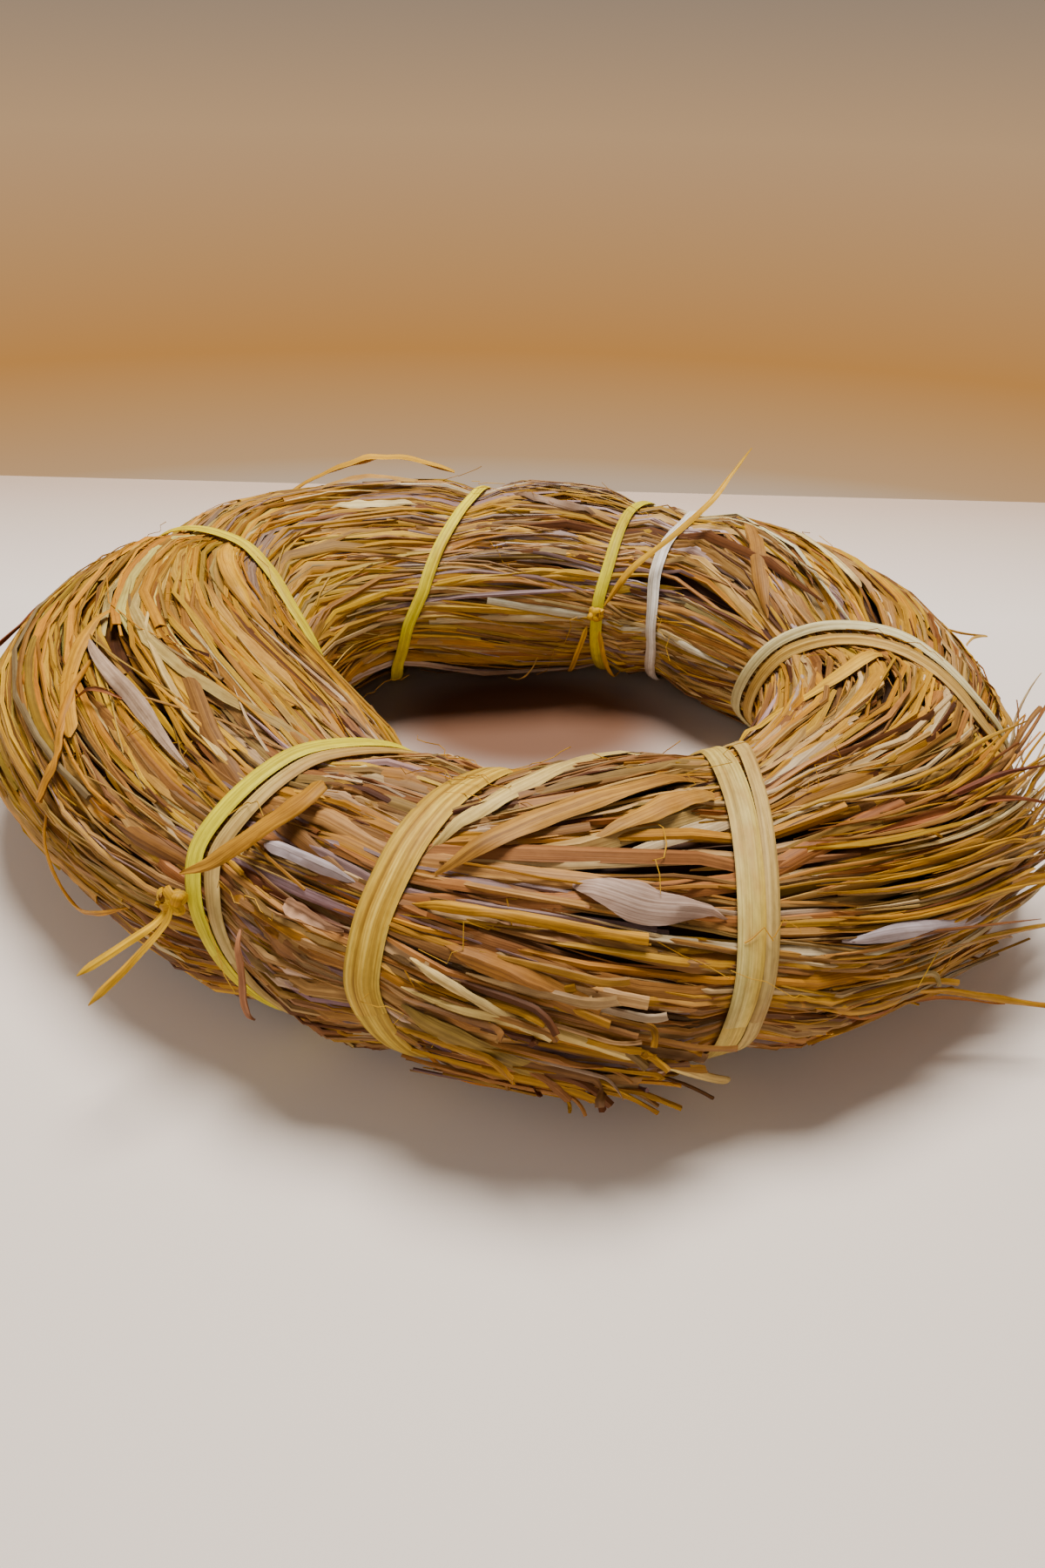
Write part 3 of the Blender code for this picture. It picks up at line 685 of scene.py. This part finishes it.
def makeOver(name):
    # strips one by one on top of the bunches
    form = overForm[name]
    n = form["steps"] + 1
    thetas, phis = guides(form, form["steps"], 0.2)
    for k in range(form["count"]):
        width = rng.uniform(*form["width"])
        cut = rng.uniform() < overEnds["cut"]
        shape = endShape(n, rng.uniform(0.1, 0.35), 0.0 if cut else rng.uniform(0.1, 0.4))
        widths = width * shape * (1 + slowWave(n, 0.07))
        height = rng.uniform(*form["height"]) + slowWave(n, 0.35)
        if not cut:
            rim = np.minimum(np.linspace(0, 1, n), 1 - np.linspace(0, 1, n))
            height = height - np.clip(1 - rim / overEnds["sinkReach"], 0, 1) * overEnds["sink"]
        section = crossSection(width)
        tint, roll = pickTint(thetas[k, n // 2]), slowWave(n, 0.3) + rng.normal(0, 0.15)
        layStrand(thetas[k], phis[k], height, widths, tint, roll, section)


frayForm = {"count": 80, "length": (10, 36), "width": (0.22, 0.42), "lift": (1.5, 6.0), "steps": 9,
            "floor": 1.6, "section": (0.25, 4, None, 0.0)}


def makeFrays():
    # loose fibres that stand off the bundle
    form = frayForm
    strips = StrandSet("looseFibres")
    theta, phi = spread(form["count"], 0.0)
    for k in range(form["count"]):
        n = form["steps"] + 1
        ahead = rng.choice([-1, 1]) * rng.uniform(*form["length"])
        place = np.linspace(0, 1, n)
        thetas = theta[k] + ahead / 2.2 * place + slowWave(n, 1.0)
        phis = phi[k] + rng.normal(0, 18) * place + slowWave(n, 4.0)
        lift = rng.uniform(*form["lift"]) * place ** 1.6 + rng.uniform(-2, 0)
        centre, normal = ringPlace(thetas, phis, lift + slowWave(n, 0.6))
        centre[:, 2] = np.maximum(centre[:, 2], form["floor"])
        width = rng.uniform(*form["width"]) * (1 - 0.6 * place)
        strips.add(centre, normal, width, paletteRgb["golden"][k % 4], 0.0, form["section"])
    return strips.finish("raffia_bundle")


fringeForm = {
    "right": {"count": 150, "theta": (299, 319), "phi": (-38, 66), "onRing": (22, 62), "free": (6, 42),
              "width": (0.45, 1.9), "off": (-0.08, 0.12), "cuts": 0.5},
    "front": {"count": 70, "theta": (262, 272), "phi": (-42, 38), "onRing": (16, 40), "free": (3, 11),
              "width": (0.9, 3.4), "off": (0.02, 0.26), "cuts": 0.85},
    "steps": 6, "reach": 160.0, "floor": 1.8,
}


def makeFringe(side):
    # strands that leave the ring and run straight on, at the right and at the cut ends in front
    form = fringeForm[side]
    steps = fringeForm["steps"]
    strips = StrandSet("fringe_" + side)
    for k in range(form["count"]):
        theta, phi = rng.uniform(*form["theta"]), rng.uniform(*form["phi"])
        length = np.array([rng.uniform(*form["onRing"])])
        wander = rng.normal(0, 0.12, 1)
        thetas, phis = followFlow(np.array([theta]), np.array([phi]), length, steps, wander, 0.0)
        lift = rng.uniform(0.0, 1.6) + np.linspace(0, 1, steps + 1) ** 2 * rng.uniform(0, 2.5)
        centre, normal = ringPlace(thetas[0], phis[0], lift)
        ahead = centre[-1] - centre[-2]
        ahead = ahead / np.linalg.norm(ahead) + normal[-1] * rng.uniform(*form["off"])
        ahead = ahead + rng.normal(0, 0.04, 3)
        place = np.linspace(0, 1, steps + 1)[1:, None]
        tail = centre[-1] + ahead * place * rng.uniform(*form["free"]) + rng.normal(0, 2.0, 3) * place ** 2
        centre = np.vstack([centre, tail])
        centre[:, 0] = np.minimum(centre[:, 0], fringeForm["reach"])
        centre[:, 2] = np.maximum(centre[:, 2], fringeForm["floor"])
        normal = np.vstack([normal, np.repeat(normal[-1:], steps, axis=0)])
        width = rng.uniform(*form["width"])
        cut = rng.uniform() < form["cuts"]
        tint = pickTint(theta) if rng.uniform() < 0.7 else paletteRgb["golden"][1] * 0.85
        section = crossSection(width)
        widths = width * endShape(len(centre), 0.3, 0.0 if cut else 0.5)
        strips.add(centre, normal, widths, tint, slowWave(len(centre), 0.3), section)
    return strips.finish("raffia_bundle")


# painted shade: the dark and lighter brown of the bundle's shaded inside
coreLook = {
    "sink": 5.6, "sinkAtTie": 3.0, "wave": 0.8, "around": 40, "along": 160, "radius": 0.1, "half": 0.04,
    "floor": 1.6, "dark": "#2A1405", "light": "#6A3D18", "roughness": 0.8, "noiseScale": 260.0}


def makeCore():
    # inside of the bundle, seen only between the strands, painted dark brown as painted shade
    look = coreLook
    maker = bmesh.new()
    upright = Matrix.Translation((look["radius"], 0, 0)) @ Matrix.Rotation(math.radians(90), 4, "X")
    bmesh.ops.create_circle(
        maker, cap_ends=False, segments=look["around"], radius=look["half"], matrix=upright)
    bmesh.ops.spin(
        maker, geom=maker.verts[:] + maker.edges[:], cent=(0, 0, 0), axis=(0, 0, 1),
        angle=math.radians(360), steps=look["along"], use_merge=True)
    bmesh.ops.remove_doubles(maker, verts=maker.verts[:], dist=1e-6)
    co = np.array([v.co[:] for v in maker.verts])
    theta = np.degrees(np.arctan2(co[:, 1], co[:, 0]))
    phi = np.degrees(np.arctan2(co[:, 2], np.hypot(co[:, 0], co[:, 1]) - look["radius"]))
    wave = look["wave"] * np.sin(np.radians(phi * 9 + theta * 3))
    point, _ = ringPlace(theta, phi, -look["sink"] - look["sinkAtTie"] * pinch(theta, phi) + wave)
    point[:, 2] = np.maximum(point[:, 2], look["floor"])
    for vert, place in zip(maker.verts, toModel(point)):
        vert.co = place
    bmesh.ops.recalc_face_normals(maker, faces=maker.faces[:])
    mesh = meshOf(maker, "bundleInside")
    mesh.shade_smooth()
    material, tree, shader = newMaterial("shadedStrands", look["roughness"])
    place = addNode(tree, "TexCoord", {}).outputs["Object"]
    noise = addNode(tree, "TexNoise", {"Vector": place, "Scale": look["noiseScale"]}).outputs["Fac"]
    shade = addRamp(tree, noise, [(0.0, rgb(look["dark"])), (1.0, rgb(look["light"]))])
    tree.links.new(shade, shader.inputs["Base Color"])
    mesh.materials.append(material)
    return addPiece(mesh, "bundleInside", "raffia_bundle")


tieLook = {
    "around": 132, "rows": 8, "thick": 0.35, "lift": 0.55, "press": 0.62, "under": 0.25, "floor": 1.35,
    "least": 0.0001, "sharpAngle": 50, "uvAround": 0.0007}


def makeTie(name):
    # band round the bundle from an open cylinder, creased a little along its length
    width, colour, _ = tieForm[name]
    maker = openPrism(tieLook["around"], tieLook["rows"], False)
    co = np.array([v.co[:] for v in maker.verts])
    phi = np.degrees(np.arctan2(co[:, 1], co[:, 0])) % 360.0
    across = co[:, 2]
    middle = tieTheta(name, phi)
    centre, normal = ringPlace(middle, phi, np.zeros(len(phi)))
    ahead, _ = ringPlace(tieTheta(name, phi + 0.5), phi + 0.5, np.zeros(len(phi)))
    side = np.cross(unit(ahead - centre), normal)
    seed = rng.uniform(0, waveForm["turn"], 6)
    turn = np.radians(phi)
    half = width * 0.5 * (1 + 0.05 * np.sin(2 * turn + seed[0]) + 0.03 * np.sin(5 * turn + seed[1]))
    crease = 0.12 * np.sin(across * 3.5 + seed[2] + 0.8 * np.sin(turn * 2 + seed[3]))
    crease += 0.05 * np.sin(across * 9.0 + seed[4] + 1.2 * np.sin(turn * 3 + seed[5]))
    lift = -ringForm["pinchDepth"] * tieLook["press"] + tieLook["lift"] + crease - 0.5 * across ** 4
    if name.endswith("edge") or name.endswith("second"):
        lift = lift - tieLook["under"]
    point = centre + side * (across * half)[:, None] + normal * lift[:, None]
    point[:, 2] = np.maximum(point[:, 2], tieLook["floor"])
    for vert, place in zip(maker.verts, point):
        vert.co = place
    bmesh.ops.recalc_face_normals(maker, faces=maker.faces[:])
    face = maker.faces[:][0]
    if face.normal.dot(Vector(normal[face.verts[0].index])) < 0:
        bmesh.ops.reverse_faces(maker, faces=maker.faces[:])
    index = {v: i for i, v in enumerate(maker.verts)}
    uvLayer = maker.loops.layers.uv.new("strand")
    for face in maker.faces:
        turns = [phi[index[v]] for v in face.verts]
        wrap = max(turns) - min(turns) > 180
        for loop in face.loops:
            i = index[loop.vert]
            angle = phi[i] + (360 if wrap and phi[i] < 180 else 0)
            loop[uvLayer].uv = (angle * tieLook["uvAround"] + seed[0], across[i] * half[i] * 0.001 + seed[1])
    bmesh.ops.solidify(maker, geom=maker.faces[:], thickness=-tieLook["thick"])
    for vert in maker.verts:
        place = toModel(np.array(vert.co[:]))
        vert.co = (place[0], place[1], max(place[2], tieLook["least"]))
    mesh = meshOf(maker, name)
    mesh.shade_smooth()
    mesh.set_sharp_from_angle(angle=math.radians(tieLook["sharpAngle"]))
    mesh.materials.append(tieMaterials[colour])
    return addPiece(mesh, "band_" + name[4:], name)


# node: width, colour, cross-section (arch, trough, fold, tube or roll), length share over which the start
# and the end narrow (0 is a cut end), keys of (theta, phi, height)
leafForm = {
    "front_leaf_upper": (5.6, "pale", "arch", 0.3, 0.3, [
        (261, 66, 0), (266, 84, 0), (272, 100, 0), (284, 126, 0), (301, 136, 0)]),
    "front_leaf_middle": (5.8, "straw", "fold", 0.25, 0.3, [
        (263, 58, 0), (271, 76, 0), (282, 90, 0), (299, 102, 0)]),
    "front_leaf_short": (6.4, "straw", "arch", 0.35, 0.1, [(279, 74, 0), (289, 85, 0), (297, 91, 0)]),
    "rolled_leaf": (9.4, "greyMauve", "roll", 0.4, 0.5, [
        (276, 57.5, 1.5), (279, 54, 2.6), (282.5, 49.5, 3), (287, 47.5, 2.4), (290.6, 44, 1.2)]),
    "lilac_leaf_left": (3.2, "lilac", "fold", 0.3, 0.2, [(244, 51, 0), (248, 51, 0), (255.5, 49.5, 0)]),
    "cut_leaf_upper": (2.6, "golden", "tube", 0.2, 0, [(261, 47, 0), (271, 46, 0), (282, 39.5, 1)]),
    "cut_leaf_middle": (4.8, "rustTan", "fold", 0.3, 0, [(265, 35.5, 0), (271, 29, 0), (277.5, 17, 0.8)]),
    "cut_leaf_lower": (2.2, "pale", "tube", 0.2, 0, [(262.5, 29, 0), (268, 20, 0), (274, 7, 1)]),
    "square_leaf": (5.0, "olive", "arch", 0.2, 0, [(262, 10, 0), (268.5, 0, 0), (275, -17, 1)]),
    "low_leaf_right": (2.6, "pale", "tube", 0.2, 0, [
        (262, 18, 0), (274, 10, 0), (283, -8, 1), (290, -26, 3.5)]),
    "low_leaf_middle": (3.0, "rust", "fold", 0.3, 0.1, [
        (266, -16, 0), (273, -26, 0), (279, -33, 1), (284, -38, 5)]),
    "low_leaf_left": (2.6, "rust", "fold", 0.3, 0.2, [
        (263, -24, 0), (269, -33, 0), (275, -38, 2), (279, -41, 5)]),
    "pink_curl_leaf": (5.0, "pinkTan", "trough", 0.3, 0.5, [
        (249.5, 35.5, 0.5), (252, 35, 2.5), (255.5, 32, 0.5)]),
    "hanging_curl": (2.6, "rustPink", "trough", 0.2, 0.1, [
        (245.3, 20, 1), (247.3, 8, 3), (247.2, -7, 3.4), (246.6, -20, 2.5)]),
    "fringe_red_brown": (3.2, "redBrown", "trough", 0.3, 0.5, [
        (309, 57, 0), (318, 51, 0.5), (325, 43, 4), (327, 33, 15)]),
    "fringe_fork": (1.8, "redBrown", "fold", 0.2, 0.6, [(321, 54, 0), (327, 48, 5), (330, 41, 13)]),
    "fringe_upper": (1.4, "golden", "tube", 0.2, 0.3, [
        (302, 76, 0), (314, 68, 0.5), (328, 60, 3), (333, 52, 13)]),
    "fringe_middle": (2.2, "golden", "fold", 0.3, 0.3, [
        (310, 22, 0), (319, 14, 1), (326, 10, 7), (330, 6, 16)]),
    "fringe_low": (2.4, "golden", "tube", 0.2, 0.2, [
        (297, 6, 0), (306, -7, 0), (314, -15, 3), (319, -17, 12), (323, -15, 25)]),
    "fringe_low_second": (2.0, "rust", "fold", 0.2, 0.3, [
        (301, -4, 0), (311, -22, 1), (318, -27, 7), (323, -26, 18)]),
    "lilac_leaf_right": (4.4, "lilac", "fold", 0.4, 0.5, [(302, 27, 0), (311, 20, 0), (325, -3, 0)]),
    "right_leaf_upper": (6.4, "golden", "arch", 0.2, 0.3, [
        (350, 95, 0), (345, 112, 0), (334, 128, 0), (322, 138, 0), (314, 141, 0)]),
    "right_leaf_side": (5.0, "straw", "fold", 0.3, 0.3, [(352, 46, 0), (345, 30, 0), (337, 10, 0.5)]),
    "right_loop": (0.9, "straw", "tube", 0.1, 0.2, [
        (2, 40, 0), (6, 30, 6), (8, 22, 12), (12, 20, 7), (15, 26, 1)]),
    "cream_leaf": (2.8, "pale", "fold", 0.2, 0.1, [(43, 62, 0), (31, 76, 0), (21, 85, 0), (11, 92, 0)]),
    "left_bent_leaf": (2.8, "orange", "tube", 0.2, 0, [
        (194, 66, 0), (203, 44, 0), (208, 33, 2.5), (211, 20, 4)]),
    "left_loop_strand": (1.4, "orange", "tube", 0.2, 0.2, [
        (209, 18, 0), (213, 2, 3), (219, -14, 5), (226, -6, 4), (231, 4, 0.5)]),
    "left_curl": (1.8, "redBrown", "trough", 0.4, 0.4, [(199, 54, 0), (203, 60, 4), (208, 66, 0)]),
    "left_tuft": (2.6, "redBrown", "fold", 0.2, 0.5, [
        (168, 34, 0), (174, 24, 2), (180, 14, 7), (185, 6, 12)]),
    "left_leaf_upper": (5.6, "orange", "fold", 0.3, 0.3, [
        (157, 101, 0), (164, 106, 0), (172, 114, 0), (181, 124, 0)]),
    "left_leaf_middle": (5.2, "orange", "arch", 0.3, 0.1, [
        (183, 78, 0), (190, 66, 0), (199, 52, 0), (206, 44, 0)]),
    "left_leaf_lower": (4.6, "mauve", "fold", 0.3, 0.35, [
        (188, 69, 0), (201, 68, 0), (214, 66, 0), (228, 62, 0)]),
    "back_tuft": (8.0, "golden", "fold", 0.4, 0.2, [
        (136, 58, 1), (126, 64, 7), (116, 67, 9), (104, 68, 3)]),
    "back_tuft_second": (5.6, "tan", "arch", 0.4, 0.2, [(134, 78, 1), (124, 82, 5), (113, 83, 2)]),
    "back_leaf_inner": (5.6, "pale", "arch", 0.35, 0.35, [(134, 101, 0), (126, 103, 0), (115, 105, 0)]),
    "back_leaf_upper": (5.6, "mauve", "arch", 0.3, 0.3, [(93, 96, 0), (84, 104, 0), (74, 106, 0)]),
    "back_leaf_right": (5.6, "tan", "arch", 0.2, 0.2, [
        (46, 80, 0), (38, 98, 0), (30, 116, 0), (18, 138, 0)]),
    "hole_curl": (0.7, "straw", "tube", 0.2, 0.2, [
        (88, 204, 0), (90, 210, 4), (93, 216, 5), (96, 222, 3)]),
    "tail_front_upper": (2.0, "yellowTail", "fold", 0, 0.1, [
        (237.4, 23, 2.2), (237.5, 14, 5), (236.8, 8, 13), (236, 3.8, 22.3)]),
    "tail_front_lower": (2.0, "yellowTail", "fold", 0, 0.1, [
        (237.8, 22, 2.4), (238.4, 14, 5.5), (238.2, 5.5, 14), (237.4, -1, 23.5)]),
    "tail_front_leaf": (5.2, "goldTan", "arch", 0.4, 0.03, [
        (237.8, 31, 3.2), (240.8, 40, 3.2), (244, 55, 3.4), (246.2, 66, 3.6), (246.8, 76, 3.4)]),
    "tail_back_long": (2.7, "yellowTail", "fold", 0.15, 0.4, [
        (69, 164, 3), (61, 146, 4), (52, 124, 6), (49.5, 100, 9), (50, 82, 16), (50, 71, 25)]),
    "tail_back_left": (1.8, "yellowTail", "fold", 0.1, 0.2, [(75, 176, 3), (78, 198, 2), (80, 226, 1)]),
    "tail_back_right": (1.8, "yellowTail", "fold", 0.1, 0.2, [(70, 178, 3), (67, 200, 2), (64, 230, 1)]),
}
leafSlots = {colour: slot for slot, colours in {
    "ochre": ("golden", "redBrown", "rust", "rustTan", "goldTan"),
    "straw": ("straw", "tan", "pale", "olive"),
    "mauve": ("mauve", "lilac", "pinkTan", "rustPink", "greyMauve"),
    "orange": ("orange",), "yellow": ("yellowTail",)}.items() for colour in colours}
leafLook = {"steps": 28, "lift": 1.5, "lying": 2, "press": 0.75, "tuckReach": 0.14, "underTie": 2.8,
            "amongStrands": 1.6, "thick": 0.35, "thinner": 0.25, "pleat": 0.22}


def splineRows(keys, count):
    # Catmull-Rom rows through keys of any width
    keys = np.array(keys, float)
    full = np.vstack([2 * keys[0] - keys[1], keys, 2 * keys[-1] - keys[-2]])
    place = np.linspace(0, len(keys) - 1, count)
    i = np.minimum(place.astype(int), len(keys) - 2)
    f = (place - i)[:, None]
    a, b, c, d = full[i], full[i + 1], full[i + 2], full[i + 3]
    return b + 0.5 * f * (c - a + f * (2 * a - 5 * b + 4 * c - d + f * (3 * (b - c) + d - a)))


def tuck(fromEnd, share, narrows):
    # depth of an end: at a tie it goes under the band, a narrowing one sinks among the strands
    depth = leafLook["underTie"] * share if share > 0.5 else 0
    depth += leafLook["amongStrands"] if narrows > 0.1 else 0
    return np.clip(1 - fromEnd / leafLook["tuckReach"], 0, 1) * depth


def leafStrip(strips, width, colour, section, starts, ends, keys):
    look, count = leafLook, leafLook["steps"]
    rows = splineRows(keys, count)
    share = pinch(rows[:, 0], rows[:, 1])
    lying = rows[:, 2] < look["lying"]
    height = np.maximum(rows[:, 2], look["lift"] - ringForm["pinchDepth"] * look["press"] * share * lying)
    place = np.linspace(0, 1, count)
    height = height - (
        tuck(place, share[0], starts) * lying[0] + tuck(1 - place, share[-1], ends) * lying[-1])
    centre, normal = ringPlace(rows[:, 0], rows[:, 1], height)
    widths = width * endShape(count, starts, ends) * (1 + slowWave(count, 0.04))
    base = paletteRgb[colour][rng.integers(len(paletteRgb[colour]))]
    tint = np.clip(base[None, :] * (1 + slowWave(count, 0.14, 1.3))[:, None], 0.01, 1)
    thick, fold, curl, pleat, roll = look["thick"], 0.0, None, look["pleat"], slowWave(count, 0.14)
    if section == "arch":
        curl = -0.5 * (1 + slowWave(count, 0.4))
    elif section == "trough":
        curl, thick = 1.3 * (1 + slowWave(count, 0.2)), look["thinner"]
    elif section == "roll":
        curl, thick, pleat = -0.35 - 2.2 * place ** 3, look["thinner"], 0.12
    elif section == "fold":
        fold = 0.35 * (1 + slowWave(count, 0.5))
    elif section == "tube":
        thick, pleat, roll = width * 0.55, 0.0, slowWave(count, 0.5)
    strips.add(centre, normal, widths, tint, roll, (thick, 8, curl, pleat), fold)


def makeLeaves():
    for name, (width, colour, section, starts, ends, keys) in leafForm.items():
        strips = StrandSet("leaf_" + name)
        leafStrip(strips, width, colour, section, starts, ends, keys)
        strips.finish(name, leafSlots[colour])


knotForm = {
    "knot_left_front": {"place": (237.6, 21), "size": (4.6, 3.4), "width": 2.4},
    "knot_back": {"place": (72, 169), "size": (3.4, 2.8), "width": 2.0},
}
knotLook = {
    "steps": 40, "turns": 1.5, "spread": 0.62, "height": 0.9, "section": (0.6, 6, None, 0.0), "fold": 0.3}


def makeKnot(name):
    # overhand knot: a flat strip that turns through itself
    form = knotForm[name]
    theta, phi = form["place"]
    origin, normal = ringPlace(np.array([theta, theta + 1.0]), np.array([phi, phi]), np.array([2.0, 2.0]))
    up = normal[0]
    along = (origin[1] - origin[0]) / np.linalg.norm(origin[1] - origin[0])
    side = np.cross(up, along)
    strips = StrandSet(name + "_loops")
    look = knotLook
    long, wide = (size * look["spread"] for size in form["size"])
    turn = np.linspace(0, 2 * math.pi * look["turns"], look["steps"])
    for k in range(2):
        x = long * np.sin(turn + k * 2.2)
        y = wide * np.sin(2 * turn / look["turns"] + k)
        z = look["height"] * (np.cos(3 * turn / look["turns"] + k) + 1)
        centre = origin[0] + x[:, None] * along + y[:, None] * side + z[:, None] * up
        out = unit(centre - (origin[0] - up * 1.5))
        tint = paletteRgb["yellowTail"][k] * (1 + slowWave(look["steps"], 0.1))[:, None]
        strips.add(centre, out, form["width"], tint, 0.0, look["section"], look["fold"])
    return strips.finish(name, "yellow")


view = {
    "target": (1.371, -12.054, 10.66), "distance": 343.55, "elevation": 0.588, "roll": 0.026,
    "focal": 1222.872, "imageHeight": 1800.0, "sensor": 36.0,
}


def makeCamera():
    el = view["elevation"]
    target = Vector(toModel(view["target"]))
    ahead = Vector((0, math.cos(el), -math.sin(el)))
    right = Vector((1, 0, 0))
    up = right.cross(ahead)
    turnedRight = right * math.cos(view["roll"]) + up * math.sin(view["roll"])
    turnedUp = up * math.cos(view["roll"]) - right * math.sin(view["roll"])
    camera = bpy.data.cameras.new("photoView")
    camera.sensor_fit = "VERTICAL"
    camera.sensor_height = view["sensor"]
    camera.lens = view["sensor"] * view["focal"] / view["imageHeight"]
    camera.clip_start = 0.01
    ob = addObject("photoView", camera)
    matrix = Matrix((turnedRight, turnedUp, -ahead)).transposed().to_4x4()
    matrix.translation = target - ahead * (view["distance"] * 0.001)
    ob.matrix_world = matrix
    bpy.context.scene.camera = ob


stageForm = {
    "half": (0.5, 0.34, 1.0), "middle": (0.0, -0.03, 0.0), "roughness": 0.6, "reach": (-0.25, 0.3),
    "colours": [(0.0, "#F2E8E0"), (0.72, "#F6EAE4"), (1.0, "#D2B9A6")],
    # hole: colour of the painted shade on the floor inside the ring
    "hole": "#6E4830", "holeOval": (0.7, 1.0, 1.0), "holeMiddle": (0.008, 0.046, 0.0),
    "holeReach": (0.022, 0.066)}


def mapRange(tree, value, start, end, **settings):
    inputs = {"Value": value, "From Min": start, "From Max": end}
    return addNode(tree, "MapRange", inputs, **settings).outputs["Result"]


def makeStage():
    # pale sheet under the ring, a little warmer towards the back
    form = stageForm
    maker = bmesh.new()
    bmesh.ops.create_grid(maker, x_segments=1, y_segments=1, size=1.0)
    bmesh.ops.scale(maker, vec=form["half"], verts=maker.verts[:])
    bmesh.ops.translate(maker, vec=form["middle"], verts=maker.verts[:])
    mesh = meshOf(maker, "paleFloor")
    material, tree, shader = newMaterial("paleFloor", form["roughness"])
    place = addNode(tree, "TexCoord", {}).outputs["Object"]
    depth = addNode(tree, "SeparateXYZ", {"Vector": place}).outputs["Y"]
    stops = [(stop, rgb(colour)) for stop, colour in form["colours"]]
    sheet = addRamp(tree, mapRange(tree, depth, *form["reach"]), stops)
    # painted shade in the hole, warm and deepest at its far side
    oval = addNode(tree, "Mapping", {"Vector": place, "Scale": form["holeOval"]}).outputs["Vector"]
    distance = addNode(tree, "VectorMath", {0: oval, 1: form["holeMiddle"]}, operation="DISTANCE")
    near, far = form["holeReach"]
    inside = mapRange(tree, distance.outputs["Value"], far, near, interpolation_type="SMOOTHSTEP")
    inputs = {"Factor": inside, "A": sheet, "B": rgb(form["hole"])}
    shade = addNode(tree, "Mix", inputs, data_type="RGBA").outputs["Result"]
    tree.links.new(shade, shader.inputs["Base Color"])
    mesh.materials.append(material)
    addObject("paleFloor", mesh)


# name: place, aim, size, energy, colour
lightForm = {
    "softboxBehind": ((0.05, 0.25, 1.0), (0.0, 0.0, 0.03), 0.5, 20.0, (1.0, 0.93, 0.84)),
    "softboxFront": ((-0.1, -1.35, 0.7), (0.0, 0.0, 0.05), 0.9, 3.0, (1.0, 0.92, 0.82)),
    "softboxLeft": ((-1.1, -0.2, 0.55), (0.0, 0.0, 0.03), 0.8, 2.6, (1.0, 0.93, 0.84)),
}
# the room behind the table: colours by how far a direction points up, -1 straight down
roomForm = {
    "low": -0.36, "high": 0.12, "strength": 1.0,
    "colours": [
        (-0.36, "#D8C6B8"), (-0.305, "#D2B698"), (-0.285, "#CDA273"), (-0.2, "#C88B48"),
        (-0.04, "#C69F75"), (0.05, "#A08A74"), (0.12, "#6E6862")],
}


def makeLights():
    for name, (place, aim, size, energy, colour) in lightForm.items():
        light = bpy.data.lights.new(name, "AREA")
        light.shape = "DISK"
        light.size = size
        light.energy = energy
        light.color = colour
        ob = addObject(name, light)
        ob.location = place
        ob.rotation_euler = (Vector(aim) - Vector(place)).to_track_quat("-Z", "Y").to_euler()


def makeRoom():
    low, high = roomForm["low"], roomForm["high"]
    world = bpy.data.worlds.new("softRoom")
    world.use_nodes = True
    tree = world.node_tree
    back = tree.nodes["Background"]
    place = addNode(tree, "TexCoord", {}).outputs["Generated"]
    up = addNode(tree, "SeparateXYZ", {"Vector": place}).outputs["Z"]
    stops = [((height - low) / (high - low), rgb(colour)) for height, colour in roomForm["colours"]]
    tree.links.new(addRamp(tree, mapRange(tree, up, low, high), stops), back.inputs["Color"])
    back.inputs["Strength"].default_value = roomForm["strength"]
    bpy.context.scene.world = world


makeCamera()
makeStage()
makeLights()
makeRoom()
print("camera, stage, lights and room")
makeCore()
makeUnder()
makeBunches()
for overName in overForm:
    makeOver(overName)
for sector in sectors:
    made = sector.finish("raffia_bundle")
    print("strands", made.name, len(made.data.polygons))
makeFrays()
for sideName in ("right", "front"):
    makeFringe(sideName)
print("loose fibres")
for tieName in tieForm:
    makeTie(tieName)
print("ties")
makeLeaves()
for knotName in knotForm:
    makeKnot(knotName)
print("leaves and knots")
